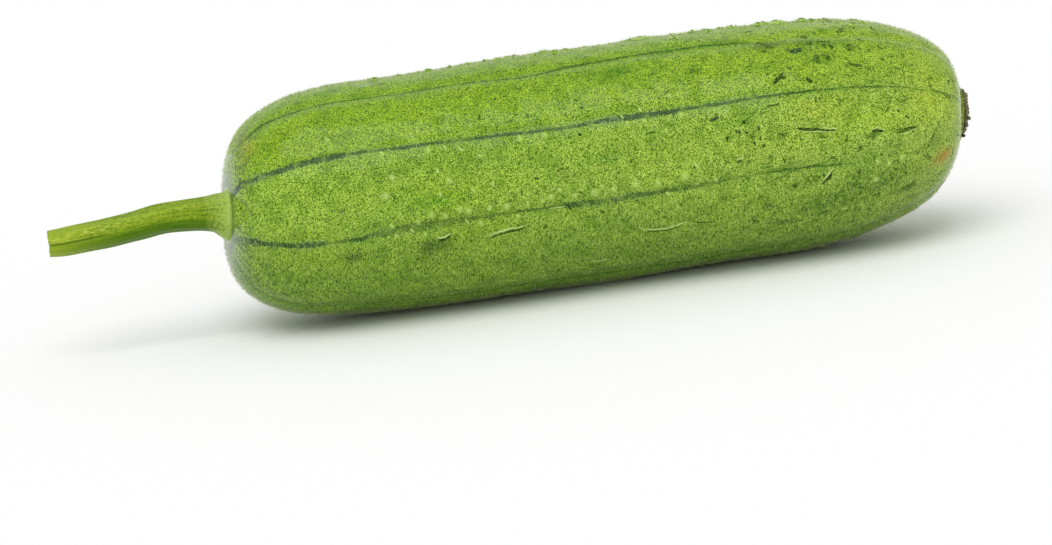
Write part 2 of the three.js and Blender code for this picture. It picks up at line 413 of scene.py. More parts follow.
def on_skin(pixels):
    """The place (along, angle) on the skin that shows at each pixel of the photograph: the
    nearest point of the grid, moved by one step of Newton's method unless the skin is seen
    too nearly edge-on there."""
    pixels = np.asarray(pixels, float)
    nearest = ((pixels[:, None, :] - SEEN_PIXELS) ** 2).sum(-1).argmin(1)
    along, angle = GRID_ALONG.ravel()[nearest], GRID_ANGLE.ravel()[nearest]
    turn = NEWTON_STEP / fruit_radius(along)
    here = photo_pixels(plain_points(along, angle))
    by_along = (photo_pixels(plain_points(along + NEWTON_STEP, angle)) - here) / NEWTON_STEP
    by_angle = (photo_pixels(plain_points(along, angle + turn)) - here) / turn[:, None]
    slope = np.stack([by_along, by_angle], -1)
    slope[np.abs(np.linalg.det(slope)) <= LEAST_SPREAD] = np.eye(2) * 1e9
    move = np.linalg.solve(slope, (pixels - here)[..., None])[..., 0]
    along = along + np.clip(move[:, 0], -FARTHEST_MOVE, FARTHEST_MOVE)
    angle = angle + np.clip(move[:, 1], -FARTHEST_TURN, FARTHEST_TURN)
    return np.stack([np.clip(along, 0.5, FRUIT_LENGTH - 0.5), angle], -1)


# Pale pimples, read off the photograph, as (pixel across, pixel down, reach, height)
PIMPLES = [
    (391.9, 226.2, 1.2, 0.45), (418, 222, 1.2, 0.52), (431.2, 215, 1.1, 0.59),
    (445.5, 216, 1.2, 0.52), (459.8, 209.9, 1.0, 0.72), (468.5, 210.9, 1.1, 0.72),
    (489.4, 207.9, 1.0, 0.65), (506.7, 206.8, 1.3, 0.65), (412.3, 230.3, 1.0, 0.45),
    (397, 235.4, 1.0, 0.39), (425.6, 234.4, 0.9, 0.39), (467, 221, 0.9, 0.45),
    (481, 223, 1.0, 0.45), (518, 216, 0.9, 0.39), (528, 204, 1.0, 0.52), (551, 197, 1.0, 0.72),
    (575, 196, 1.0, 0.45), (594.6, 192.5, 1.4, 0.65), (614, 190, 1.1, 0.59),
    (636, 184.4, 1.1, 0.78), (657.8, 183.3, 1.1, 0.65), (685.3, 176.4, 1.5, 0.65),
    (695.6, 165.5, 1.0, 0.65), (668, 193.6, 0.9, 0.45), (716, 179.4, 0.9, 0.52),
    (669.5, 96.3, 1.0, 0.45), (681, 114.5, 1.1, 0.45), (645, 121, 0.9, 0.39),
    (901.6, 157, 1.1, 0.59), (877.8, 161, 1.1, 0.65), (889, 163, 0.9, 0.59),
    (876, 178.8, 1.1, 0.59), (382, 154, 1.0, 0.39), (428, 150, 1.2, 0.45), (520, 138, 1.2, 0.45),
    (545, 135, 1.0, 0.45), (327, 139, 1.3, 0.39), (392, 178, 1.2, 0.52), (386, 196, 1.4, 0.45),
    (640, 39, 3.4, 0.72), (674, 38.5, 1.8, 0.65), (730, 23, 2.0, 0.75), (757, 21.5, 2.2, 0.5),
    (773, 20, 3.0, 0.65), (692, 29, 1.3, 0.6), (802, 20, 1.8, 0.85), (826, 22, 2.2, 0.75),
    (852, 25, 1.8, 0.65), (610, 45, 1.0, 0.52), (585, 49, 1.0, 0.52), (556, 52, 1.0, 0.52),
    (535, 56, 0.9, 0.45), (430, 68, 1.0, 0.45), (450, 181, 1.1, 0.45), (493, 184, 1.0, 0.4),
    (473.5, 190.5, 0.9, 0.4), (437.6, 171, 0.9, 0.35), (440.5, 194.5, 1.0, 0.4),
    (627.5, 123.5, 0.9, 0.35), (666, 131, 0.9, 0.35), (445, 148, 0.9, 0.3), (462, 150, 0.8, 0.3),
    (480, 156, 0.9, 0.3), (543, 201, 0.9, 0.35), (560, 190, 0.9, 0.3), (602, 186, 0.9, 0.35),
    (622, 117, 0.9, 0.3), (640, 110, 0.9, 0.3),
]
# Others on the sides it doesn't show, and along the top, where they roughen the outline: how
# many, then the bounds of the distance along, the angle, the reach and the height
SEEDED_PIMPLES = [
    (90, (40, 205), np.radians([100, 290]), (0.9, 1.4), (0.4, 0.7)),
    (44, (45, 205), np.radians([86, 114]), (0.8, 1.5), (0.35, 0.65)),
]


def pimple_bumps():
    """All pimples, as (along, angle, reach, height)."""
    seen = np.array(PIMPLES)
    bumps = [np.concatenate([on_skin(seen[:, :2]), seen[:, 2:]], -1)]
    draw = np.random.default_rng(11)
    for count, *bounds in SEEDED_PIMPLES:
        bumps.append(np.stack([draw.uniform(*pair, count) for pair in bounds], -1))
    return np.concatenate(bumps)


PIMPLE_BUMPS = pimple_bumps()
SWELLS = 46
SWELL_HEIGHT = 0.05
SWELL_LENGTHS = (5, 12)


def swell_field(points):
    """Small irregular swells of the skin: many seeded plane waves of 5 to 12 mm, summed."""
    draw = np.random.default_rng(5)
    ways = unit(draw.normal(size=(SWELLS, 3)))
    lengths = draw.uniform(*SWELL_LENGTHS, SWELLS)
    phases = draw.uniform(0, FULL_TURN, SWELLS)
    height = np.zeros(points.shape[:-1])
    for way, length, phase in zip(ways, lengths, phases):
        height += np.sin(FULL_TURN * (points @ way) / length + phase)
    return SWELL_HEIGHT * height / np.sqrt(SWELLS / 2)


def above_floor(points, least=0):
    """The points, none of them lower than a least height over the floor."""
    points[..., 2] = np.maximum(points[..., 2], least)
    return points


def skin_points(along, angle):
    """Points of the finished skin: the solids' skin with pimples and swells."""
    radius = fruit_radius(along)
    reach = radius + relief(along, angle, radius)
    reach += bump_field(along, angle, radius, PIMPLE_BUMPS)
    reach += swell_field(section_point(along, angle, reach)) * end_fade(along, FURROW_END_FADE)
    return above_floor(section_point(along, angle, reach) + PLACE)


SKIN_STEP = 0.35


def skin_frames(along, angle):
    """Points of the skin, with its ways along, round and outwards there, from small steps."""
    turn = SKIN_STEP / fruit_radius(along)
    here = skin_points(along, angle)
    along_way = unit(skin_points(along + SKIN_STEP, angle) - skin_points(along - SKIN_STEP, angle))
    round_way = unit(skin_points(along, angle + turn) - skin_points(along, angle - turn))
    return here, along_way, round_way, unit(outward_ways(here, along, along_way, round_way))


# Meshes


def new_piece(name, points, faces, material, smooth=True):
    """A mesh object from points in millimetres and lists of faces with equally many corners."""
    mesh = bpy.data.meshes.new(name)
    corners = [corner for group in faces for corner in group.tolist()]
    mesh.from_pydata((points * METRES).tolist(), [], corners)
    mesh.polygons.foreach_set("use_smooth", np.full(len(corners), smooth))
    mesh.materials.append(material)
    mesh.update()
    piece = bpy.data.objects.new(name, mesh)
    bpy.context.scene.collection.objects.link(piece)
    return piece


def ring_faces(rings, sides):
    """The four-cornered faces between rings of equally many points, each ring closed."""
    i, j = np.meshgrid(np.arange(rings - 1), np.arange(sides), indexing="ij")
    beyond = (j + 1) % sides
    corners = [i * sides + j, (i + 1) * sides + j, (i + 1) * sides + beyond, i * sides + beyond]
    return np.stack(corners, -1).reshape(-1, 4)


def lathe(rings):
    """Points and faces of a closed skin over rings, with a pole at the middle of each end."""
    count, sides, _ = rings.shape
    points = np.concatenate([rings.reshape(-1, 3), [rings[0].mean(0)], [rings[-1].mean(0)]])
    j = np.arange(sides)
    beyond = (j + 1) % sides
    pole = np.full(sides, count * sides)
    last = (count - 1) * sides
    first_fan = np.stack([j, beyond, pole], -1)
    last_fan = np.stack([last + beyond, last + j, pole + 1], -1)
    return points, [ring_faces(count, sides), first_fan, last_fan]


def tube_faces(count, rings, sides):
    """The faces of equal closed tubes that follow each other: their sides, then their ends."""
    starts = (np.arange(count) * rings * sides)[:, None, None]
    rim = np.arange(sides)
    caps = np.stack([rim, ((rings - 1) * sides + rim)[::-1]])
    walls = (ring_faces(rings, sides) + starts).reshape(-1, 4)
    return walls, (caps + starts).reshape(-1, sides)


def paint(piece, name, values, domain="POINT"):
    """Stores a colour for each point or corner of a piece, for its material to read."""
    attribute = piece.data.attributes.new(name, "FLOAT_COLOR", domain)
    attribute.data.foreach_set("color", np.asarray(values, np.float32).ravel())


def paint_lathe(piece, name, *parts):
    """Stores four numbers for each point of a closed skin, and zeros for its poles."""
    values = np.stack(np.broadcast_arrays(*parts), -1).reshape(-1, 4)
    paint(piece, name, np.concatenate([values, np.zeros((2, 4))]))


# What each vein line looks like along the fruit, as (along, half width, darkness, bloom)
VEIN_LOOKS = {
    0: [(0, 0.5, 0.5, 0.2), (30, 0.32, 0.6, 0.1), (90, 0.32, 0.75, 0), (150, 0.32, 0.9, 0),
        (185, 0.28, 0.6, 0), (229, 0.26, 0.2, 0)],
    1: [(0, 1.2, 0.75, 0.8), (4, 1.1, 0.9, 0.7), (8, 0.7, 0.95, 0.3), (16, 0.75, 0.95, 0.15),
        (20, 0.9, 0.9, 0.6), (25, 0.8, 0.9, 0.3), (28, 0.35, 0.3, 0.1), (32, 0.6, 0.9, 0.1),
        (37, 0.6, 0.8, 0.1), (42, 1.2, 0.45, 0.1), (54, 1.5, 0.42, 0.05), (66, 1.1, 0.38, 0),
        (80, 0.45, 0.5, 0), (96, 0.5, 0.6, 0), (102, 0.9, 0.75, 0.1), (120, 0.8, 0.6, 0.2),
        (136, 0.7, 0.5, 0), (150, 0.6, 0.35, 0), (162, 0.3, 0.35, 0), (168, 0.3, 0.8, 0),
        (184, 0.28, 0.8, 0), (194, 0.22, 0.3, 0), (229, 0.25, 0.15, 0)],
    2: [(0, 1.3, 1, 0), (3, 1.0, 1, 0.1), (6, 0.9, 0.9, 1), (10, 0.85, 0.95, 0.6),
        (13, 0.95, 1, 0.15), (32, 0.95, 1, 0.1), (36, 0.6, 0.9, 0.5), (44, 0.45, 1, 0.1),
        (52, 0.65, 1, 0.2), (66, 0.45, 1, 0.15), (84, 0.65, 1, 0.2), (100, 0.5, 1, 0.1),
        (112, 0.7, 1, 0.2), (118, 0.9, 0.9, 0.7), (123, 1.0, 1, 0.1), (134, 0.85, 1, 0),
        (143, 0.6, 1, 0.1), (160, 0.45, 1, 0.05), (180, 0.36, 1, 0), (200, 0.3, 0.85, 0),
        (212, 0.24, 0.5, 0), (221, 0.3, 0.6, 0), (229, 0.35, 0.7, 0)],
    3: [(0, 0.5, 0.6, 0.2), (6, 0.6, 0.85, 0.1), (14, 0.5, 0.85, 0.2), (32, 0.4, 0.7, 0.2),
        (40, 0.3, 0.75, 0), (60, 0.34, 0.8, 0), (92, 0.38, 1, 0), (125, 0.38, 1, 0),
        (150, 0.36, 1, 0), (162, 0.4, 0.75, 0), (170, 0.3, 0.35, 0), (190, 0.3, 0.4, 0),
        (204, 0.26, 0.35, 0), (229, 0.25, 0.2, 0)],
}
# the veins that the photograph doesn't show take after these
LIKE_VEINS = {4: 3, 5: 2, 6: 1, 7: 3, 8: 0}

# How far each vein's line lies above its furrow's middle, as (along, millimetres)
VEIN_DRIFTS = {
    0: [(85, -0.9), (97, -1.1), (107, -1.4), (128, -1.7), (141, -2.3), (150, -1.8), (180, -0.5)],
    1: [(0.5, -4.5), (2.5, -2.9), (6, -2.4), (18, -2.7), (27, -2.1), (36, -1.6), (49, -0.1),
        (89, 0), (101, -0.5), (114, -0.9), (126, -0.4), (141, 0), (150, 0.6), (160, 1.1),
        (169, 0.9), (178, 0.2), (188, -0.9), (205, -1.2)],
    2: [(0.5, 1.2), (1.9, 0.7), (4.5, -0.4), (7.5, -0.7), (14, -0.6), (20, 0.1), (36, 0.3),
        (52, -0.2), (83, -0.3), (92, -0.8), (105, -1.3), (114, -0.7), (130, -1), (160, -0.7),
        (185, -0.4), (194, -0.5), (206, -1.1), (215, -2.4), (225, -3)],
    3: [(1, 5), (2, 4.6), (5, 1.5), (13, 0.9), (20, 0), (38, 0.2), (56, -0.5), (75, 0.1),
        (84, -0.5), (93, -1.3), (106, 0.4), (124, 0.8), (137, 1.1), (149, 1.8), (159, 1.1),
        (168, -0.5), (180, -2.9), (200, -3.1)],
}


def along_fruit(table, vein, along):
    """A vein's columns of a table, read at places along the fruit."""
    rows = np.array(table[LIKE_VEINS.get(vein, vein)])
    return np.stack([np.interp(along, rows[:, 0], column) for column in rows.T[1:]], -1)


# Stains under the skin, some of the broad dark ones low on the side partly painted shade, read off
# the photograph, as (pixel across, pixel down, reach along, reach round, colour, strength)
STAINS_AND_SHADE = [
    (943.7, 155.7, 2.6, 1.9, "#b8622a", 0.8), (939, 158, 4.2, 2.0, "#a98a35", 0.45),
    (240, 140, 1.6, 2.4, "#8f7c26", 0.9), (246, 150, 2.6, 4.0, "#ab9a3a", 0.65),
    (355, 257, 3.4, 1.4, "#23430d", 0.95), (797, 51, 2.4, 0.9, "#2f5a24", 0.95),
    (803, 37, 1.5, 0.9, "#3a6420", 0.95), (692, 70, 2.2, 1.6, "#4a7a1c", 0.88),
    (609, 158.5, 3.0, 1.1, "#5f8a52", 0.74), (561, 170, 2.4, 1.0, "#5d6a1c", 0.74),
    (822, 58, 5.0, 2.0, "#4a7a16", 0.8), (815, 43, 7.0, 2.2, "#477518", 0.85),
    (768, 45, 5.0, 1.8, "#2f5c08", 0.95), (722, 43, 7.0, 2.4, "#4a7c14", 0.75),
    (612, 72, 8.0, 2.6, "#548812", 0.75), (850, 48, 1.5, 1.2, "#456f1c", 0.94),
    (908, 187, 3.4, 1.3, "#44661e", 0.94), (860, 148, 1.1, 0.9, "#3f6a22", 0.94),
    (915, 165, 7.0, 3.2, "#7b9f3a", 0.54), (893, 178, 9.0, 4.2, "#557f26", 0.6),
    (858, 192, 9.0, 4.0, "#507a22", 0.55), (868, 118, 8.0, 3.2, "#7fa838", 0.5),
    # partly painted shade: the broad dark stains at (433, 247) and (820, 205), low on the side,
    # where the gourd lay against others
    (795, 186, 1.3, 0.8, "#3a6018", 0.95), (433, 247, 6.0, 2.4, "#2f5312", 0.81),
    (785, 221.7, 3.0, 0.8, "#223f20", 0.94), (820, 205, 9.0, 3.4, "#4d7a1e", 0.68),
    (640, 245, 14.0, 3.0, "#53812a", 0.47), (437, 200, 10.0, 2.4, "#669a12", 0.74),
    (505, 112, 12.0, 3.0, "#86ab35", 0.41), (880, 120, 9.0, 4.0, "#9ab93a", 0.47),
    (760, 150, 14.0, 5.0, "#93a94c", 0.61), (815, 112, 8.0, 3.0, "#9db054", 0.54),
    (930, 100, 7.0, 7.0, "#a9bf38", 0.54), (326, 169, 1.2, 1.0, "#5a8a1c", 0.95),
    (343, 212, 0.9, 0.8, "#2c4a14", 0.95), (297, 103, 1.2, 0.9, "#4a7418", 0.94),
    (738.8, 131.7, 1.1, 0.7, "#3f6a22", 0.81), (768.6, 132, 1.0, 0.9, "#4a7426", 0.94),
    (780.6, 135.5, 1.0, 0.9, "#4a7426", 0.94), (746, 121, 2.2, 1.6, "#6d9a2c", 0.81),
    (757.5, 44.5, 1.0, 1.2, "#3c6818", 0.85), (768.7, 46, 1.1, 1.2, "#3c6818", 0.85),
    (816.5, 60, 0.9, 1.3, "#4a7420", 0.9), (827.4, 57.6, 0.8, 1.2, "#4a7420", 0.9),
    (831.7, 43.5, 1.2, 1.0, "#4a7820", 0.8), (841, 30, 1.0, 0.7, "#3f681c", 0.9),
    (858.8, 39, 0.8, 0.6, "#3f681c", 0.9), (870.8, 47.3, 0.8, 0.8, "#4a7420", 0.9),
    (879.5, 47.3, 0.6, 0.9, "#4a7420", 0.9), (882.7, 59.2, 0.6, 0.6, "#44701c", 0.95),
    (891.5, 56, 0.8, 0.9, "#557f28", 0.8), (909, 43.3, 1.2, 0.9, "#5f8a30", 0.7),
    (820.5, 30.2, 0.7, 0.6, "#3f681c", 0.9), (744, 122, 0.8, 0.8, "#3f6a22", 0.9),
    (859.6, 171.7, 0.8, 0.8, "#35581c", 0.9), (854.8, 184.4, 0.9, 0.9, "#35581c", 0.9),
    (842, 191.6, 1.0, 0.8, "#3a5c1c", 0.85), (829.3, 195.6, 0.9, 0.7, "#3a5c1c", 0.85),
    (877, 192.4, 0.9, 0.9, "#3f6420", 0.8), (769.5, 206, 1.6, 0.9, "#3f6a22", 0.8),
    (662, 52.5, 2.6, 1.0, "#4f7c18", 0.75), (620, 70, 1.4, 1.0, "#4a7616", 0.85),
    (754, 106, 1.6, 0.7, "#6a9438", 0.7),
]
# Seeded stains like them behind: how many, their tones and how strong they are, and the bounds
# of the distance along, the angle and the two reaches
STAINS_BEHIND = 70
TONES_BEHIND = ["#4f8018", "#44701c", "#5f8a52", "#6a9a1c", "#93a94c"]
STRENGTH_BEHIND = (0.3, 0.7)
BOUNDS_BEHIND = [(25, 215), np.radians([105, 300]), (1.0, 6.0), (0.8, 2.6)]


def all_stains_and_shade():
    """All stains, some of them partly painted shade, as (along, angle, reach along, reach round,
    colour, strength).
    """
    seen = on_skin([row[:2] for row in STAINS_AND_SHADE])
    rows = [(*place, *row[2:]) for place, row in zip(seen, STAINS_AND_SHADE)]
    draw = np.random.default_rng(23)
    for _ in range(STAINS_BEHIND):
        form = [draw.uniform(*bounds) for bounds in BOUNDS_BEHIND]
        tone = TONES_BEHIND[draw.integers(len(TONES_BEHIND))]
        rows.append((*form, tone, draw.uniform(*STRENGTH_BEHIND)))
    return rows


def stain_and_shade_colours(along, angle):
    """The colour and strength of the stains, some of them partly painted shade, at points of the
    skin: bells by the distance on the skin, each laid over those before it."""
    radius = fruit_radius(along)
    colour = np.zeros((*along.shape, 3))
    strength = np.zeros(along.shape)
    for row_along, row_angle, reach, girth, tone, most in all_stains_and_shade():
        across = radius * turn_between(angle, row_angle)
        share = most * np.exp(-(((along - row_along) / reach) ** 2) - (across / girth) ** 2)
        strength = share + strength * (1 - share)
        blend = (share / np.maximum(strength, 1e-6))[..., None]
        colour += (np.array(linear(tone)[:3]) - colour) * blend
    return [*np.moveaxis(colour, -1, 0), strength]


# How far the neck's look reaches, and where the nub's is full and ends, over the skin
NECK_LOOK_REACH = 9
NUB_LOOK = (0.8, 3.2)
FAR_FROM_VEIN = 99


def make_rind(material):
    """The fruit's skin as rings of stations times angles. Its corners carry the distance along the
    fruit and off the nearest vein line, what that line looks like there, and how near the nub is.
    Its points carry the stains, some of them partly painted shade, and where on the fruit they lie."""
    points, faces = lathe(skin_points(GRID_ALONG, GRID_ANGLE))
    piece = new_piece("rind_skin", points, faces, material)
    sides = len(ANGLES)
    column = np.arange(len(faces[0])) % sides
    nearest = (column + SKIN_SECTOR_STEPS // 2) // SKIN_SECTOR_STEPS
    vein = (nearest % len(VEINS))[:, None]
    corner_station = faces[0] // sides
    corner_column = np.stack([column, column, column + 1, column + 1], -1)
    angles = np.append(ANGLES, ANGLES[0] + FULL_TURN)[corner_column]
    along = STATIONS[corner_station]
    drift = np.stack([along_fruit(VEIN_DRIFTS, k, STATIONS) for k in VEINS])
    off_vein = fruit_radius(along) * (angles - VEIN_ENDS[nearest][:, None])
    off_vein -= drift[vein, corner_station, 0]
    fans = 3 * 2 * sides
    uv = np.stack([along, off_vein], -1).reshape(-1, 2)
    uv = np.concatenate([uv, np.full((fans, 2), FAR_FROM_VEIN)])
    layer = piece.data.uv_layers.new(name="from_vein")
    layer.uv.foreach_set("vector", uv.astype(np.float32).ravel())
    arc = run_length(STATIONS, fruit_radius(STATIONS))
    at_nub = 1 - smooth_step(arc[-1] - arc, *NUB_LOOK)
    looks = np.stack([along_fruit(VEIN_LOOKS, k, STATIONS) for k in VEINS])[vein, corner_station]
    looks = np.concatenate([looks, at_nub[corner_station][..., None]], -1).reshape(-1, 4)
    paint(piece, "vein_look", np.concatenate([looks, np.zeros((fans, 4))]), "CORNER")

    up = np.sin(GRID_ANGLE)
    # how low on the fruit a point lies; the rind is darkened by it as painted shade
    lowness = smooth_step(-up, -0.25, 0.95)
    neck = np.exp(-arc / NECK_LOOK_REACH)[:, None]
    spotty = smooth_step(GRID_ALONG, 80, 190)
    # the pimples' pale caps, partly painted highlight, are narrower than they are
    caps = PIMPLE_BUMPS * [1, 1, 0.8, 1.6]
    pimple = bump_field(GRID_ALONG, GRID_ANGLE, fruit_radius(GRID_ALONG), caps)
    paint_lathe(piece, "stain_and_shade", *stain_and_shade_colours(GRID_ALONG, GRID_ANGLE))
    paint_lathe(piece, "field", GRID_ALONG / FRUIT_LENGTH, lowness, neck, spotty)
    paint_lathe(piece, "round_way", np.cos(GRID_ANGLE), up, pimple, smooth_step(up, 0.35, 0.85))
    return piece


# Marks on the rind, read off the photograph: tone, half width, height, and pixels across and down
# along each one
# Where a pale mark runs beside a dark one, along cracks and raised scars, the pale one is partly
# painted highlight on the lip and the dark one partly painted shade under it.
MARKS = [
    ("dark", 0.42, 0.1, 796, 128.5, 808, 129.5, 820, 129),
    ("dark", 0.26, 0.08, 818, 129.5, 827, 130.8, 836, 130),
    ("pale", 0.2, 0.22, 798, 131.2, 820, 131.5, 836, 132),
    ("pale", 0.3, 0.3, 821, 127, 830, 128.5, 838, 128.4),
    ("dark", 0.45, 0.1, 872, 131.5, 878, 130.2, 884, 131.2),
    ("pale", 0.22, 0.22, 870, 129.5, 877, 127.8, 885, 130.5),
    ("mid", 0.5, 0.1, 896, 133, 905, 130.5, 915, 128),
    ("dark", 0.22, 0.2, 899, 130.5, 908, 127.6, 918, 126.5),
    ("pale", 0.2, 0.2, 898, 134.5, 908, 132, 919, 127.5),
    ("dark", 0.45, 0.1, 849, 63.5, 856, 65.5, 863, 66),
    ("dark", 0.5, 0.12, 806, 77.5, 809, 80, 812, 82.5),
    ("dark", 0.5, 0.12, 773, 84.5, 778, 79, 783, 73),
    ("dark", 0.4, 0.12, 779, 77, 783, 77.5, 786, 78),
    ("dark", 0.28, 0.1, 766, 106.5, 773, 105.5, 780, 104),
    ("blue", 0.42, 0.12, 709, 120.3, 714, 119.5, 718.5, 117),
    ("pale", 0.36, 0.25, 823, 179.5, 829, 174, 832, 168.5),
    ("pale", 0.2, 0.1, 816.5, 187, 823, 181, 828.5, 175),
    ("dark", 0.36, 0.1, 820, 184.5, 826, 180, 830.5, 172),
    ("dark", 0.36, 0.1, 827, 179, 830, 177.5, 831, 171),
    ("dark", 0.26, 0.1, 727, 135.5, 727.6, 139, 727.2, 142),
    ("dark", 0.24, 0.1, 734.5, 130.8, 738, 131.8, 740.5, 133),
    ("dark", 0.3, 0.1, 758.5, 124.5, 759, 128, 758.5, 131),
    ("dark", 0.28, 0.1, 760, 137, 760.5, 139, 760.2, 140.5),
    ("dark", 0.26, 0.1, 754, 141.5, 754.6, 143.5, 754.5, 145),
    ("dark", 0.3, 0.1, 745.5, 131, 747, 133, 748, 133.5),
    ("dark", 0.26, 0.1, 783, 157.5, 784.4, 160.4, 785.5, 163),
    ("dark", 0.26, 0.1, 736.5, 162.5, 739.5, 161.5, 742, 159.8),
    ("pale", 0.3, 0.22, 737, 159.8, 740, 158.6, 744, 157.2),
    ("dark", 0.34, 0.2, 693.5, 166, 694.5, 167.5, 696, 167.6),
    ("pale", 0.3, 0.3, 636.5, 227, 644, 229.8, 655.5, 229.4, 664.6, 229, 673.8, 226.3, 681, 223.5,
     690, 221.3),
    ("dark", 0.16, 0.12, 690, 221.3, 699, 222.3, 708, 222.4, 718, 222.2),
    ("dark", 0.2, 0.06, 646, 231.8, 656, 231.4, 666, 230.8, 676, 227.8, 684, 225),
    ("pale", 0.36, 0.38, 486, 237, 499, 232, 512, 228.6, 526, 225),
    ("dark", 0.28, 0.08, 490, 238.2, 502, 233.6, 514, 230.6, 524, 228),
    ("pale", 0.36, 0.35, 436.5, 238.5, 444, 237.5, 451.6, 234),
    ("dark", 0.34, 0.08, 438, 240.3, 445, 239.4, 451, 236.3),
    ("pale", 0.2, 0.16, 588, 262, 600, 260.6, 611, 259),
    ("pale", 0.26, 0.24, 548.7, 208.7, 557, 207.6, 566, 206.3),
    ("dark", 0.26, 0.1, 566.5, 205, 569, 206.5, 571, 210),
    ("pale", 0.2, 0.24, 377, 197.5, 384, 194.6, 391, 197),
    ("dark", 0.16, 0.1, 391, 195.5, 394, 197, 395, 199.5),
    ("pale", 0.2, 0.24, 391, 175, 394.5, 178.6, 398, 177.5),
    ("dark", 0.14, 0.08, 388.5, 172, 391.5, 177.5, 396, 180.2),
    ("dark", 0.14, 0.08, 320, 139.5, 327, 137.8, 334, 139.5),
    ("mid", 0.18, 0.05, 940.5, 118, 938, 127, 934, 137, 928.5, 147, 924, 152),
    ("dark", 0.2, 0.05, 936, 128, 933, 136, 929, 143),
    ("mid", 0.22, 0.06, 928, 88.3, 936, 90.5, 943, 93.5, 950.6, 97, 956, 103),
    ("dark", 0.16, 0.05, 944, 95, 949, 98.8, 953, 103),
    ("mid", 0.16, 0.05, 857, 93, 859, 96, 858.6, 99),
    ("mid", 0.16, 0.04, 928, 40, 938, 45.5, 945.7, 53, 951, 62, 956, 74),
    ("mid", 0.14, 0.05, 946, 70, 951, 78, 955, 88, 959, 96),
    ("mid", 0.16, 0.04, 904, 62, 903, 71, 905, 80),
    ("dark", 0.25, 0.08, 905, 115, 907.5, 117, 909, 118.5),
    ("dark", 0.36, 0.1, 859, 150, 861, 147.5, 862.6, 146.6),
    ("mid", 0.2, 0.1, 805, 179.5, 811, 176.2, 818, 176, 822, 178.4),
    ("mid", 0.2, 0.08, 806, 180.5, 813, 181.2, 820, 180.2),
    ("dark", 0.16, 0.05, 759.4, 173.4, 776, 171.6, 794, 170.7, 809.3, 166, 825.6, 162.6),
    ("dark", 0.13, 0.05, 771.3, 181.6, 782, 176.6, 793, 171.8, 805, 170.7),
    ("pale", 0.26, 0.2, 840.5, 210.5, 843, 208.5, 846.5, 208.8),
    ("dark", 0.2, 0.06, 844, 211.5, 846, 210.5, 848, 210.5),
    ("mid", 0.16, 0.1, 883, 207.5, 885.3, 205, 887, 202.5),
    ("mid", 0.34, 0.05, 900, 190, 907, 186, 915, 182.5),
    ("dark", 0.2, 0.05, 902, 187, 909, 185.6, 916, 184.8),
    ("blue", 0.3, 0.2, 823, 19.5, 827, 20.6, 831, 22),
    ("blue", 0.26, 0.2, 849, 23.6, 853, 24.2, 856.5, 25.4),
    ("blue", 0.26, 0.16, 797, 19.4, 801, 19.2, 805, 19.8),
    ("dark", 0.24, 0.14, 668, 40.8, 673, 39.4, 679, 40.6),
    ("mid", 0.18, 0.12, 609, 43, 625, 40.8, 640, 41.2),
    ("dark", 0.4, 0.1, 742, 32.6, 748, 31.8, 752, 31.4),
    ("dark", 0.26, 0.1, 868, 25.6, 870.8, 27, 872, 29),
    ("leaf", 0.85, 0.06, 755, 43, 760, 43.4, 765, 44.6),
    ("leaf", 0.6, 0.06, 764, 46.4, 769, 46.8, 774.5, 48.4),
    ("leaf", 0.36, 0.06, 761, 51.3, 764, 51.8, 766.5, 51),
    ("blue", 0.85, 0.06, 789, 52.5, 795, 51, 801, 48.5),
    ("dark", 0.8, 0.08, 800, 36.6, 804, 37.2, 808, 38.5),
    ("leaf", 0.5, 0.06, 806, 43.4, 809.5, 43.7, 812.5, 43),
    ("leaf", 0.3, 0.06, 815, 42, 823, 41.3, 831, 42),
    ("leaf", 0.45, 0.06, 823, 44, 824.4, 46.5, 826, 49),
    ("leaf", 0.5, 0.06, 829, 45, 831.4, 46.8, 833, 49),
    ("leaf", 0.7, 0.06, 815, 54.5, 816.6, 58, 816.2, 62),
    ("leaf", 0.55, 0.06, 827, 54.5, 827.8, 57.6, 827.4, 61),
    ("mid", 0.4, 0.06, 857.6, 49.2, 859.6, 48.7, 861.4, 49.2),
    ("mid", 0.42, 0.06, 867.6, 48.6, 869.4, 50, 870.4, 51.6),
    ("mid", 0.36, 0.06, 889.8, 56.4, 891.4, 57, 893, 56.6),
    ("dark", 0.26, 0.06, 846.6, 46, 849.5, 44.8, 852.4, 46.6),
    ("dark", 0.26, 0.06, 846.8, 48.4, 849, 50.8, 852, 49),
    ("dark", 0.24, 0.06, 838.5, 30.4, 841, 28.8, 844, 29.8),
    ("dark", 0.2, 0.06, 839, 31.4, 841, 32.2, 843.5, 31.2),
    ("dark", 0.3, 0.06, 857.8, 38.4, 859, 39, 860, 39.8),
    ("mid", 0.36, 0.06, 876, 45.4, 879, 46.8, 881.6, 49.6),
    ("dark", 0.3, 0.06, 881.6, 58.6, 882.8, 59.2, 883.6, 60.2),
    ("mid", 0.5, 0.06, 690, 69, 693, 70.4, 696, 70),
    ("dark", 0.36, 0.06, 743, 120.6, 744, 122.2, 744.6, 124),
    ("dark", 0.32, 0.06, 781.5, 133.6, 783, 135.2, 784.5, 135.4),
    ("dark", 0.34, 0.06, 858.6, 170.6, 859.6, 172, 860, 173.6),
    ("dark", 0.42, 0.06, 793, 185, 795.5, 186, 798, 186.4),
    ("mid", 0.34, 0.06, 853.4, 183.4, 855, 184.6, 856.8, 185),
    ("mid", 0.4, 0.06, 840, 190.6, 842.4, 191.6, 845, 191.4),
]
# Each tone's colour, and how much wider its marks are drawn
MARK_TONES = {
    # dark: scab tissue, and beside the pale lips of cracks and raised scars partly painted shade
    "dark": ("#26400c", 1.4),
    "leaf": ("#345204", 1.3),
    "mid": ("#466a10", 1.2),
    "blue": ("#22402a", 1.3),
    # pale: the lips' own paler tissue, partly painted highlight
    "pale": ("#c0d584", 0.85),
}
MARK_STATIONS = 13
MARK_SIDES = 8
MARK_SINK = 0.35
MARK_TAPER = 2.5
MARK_WANDER = 0.07
LEAST_WIDTH = 0.06


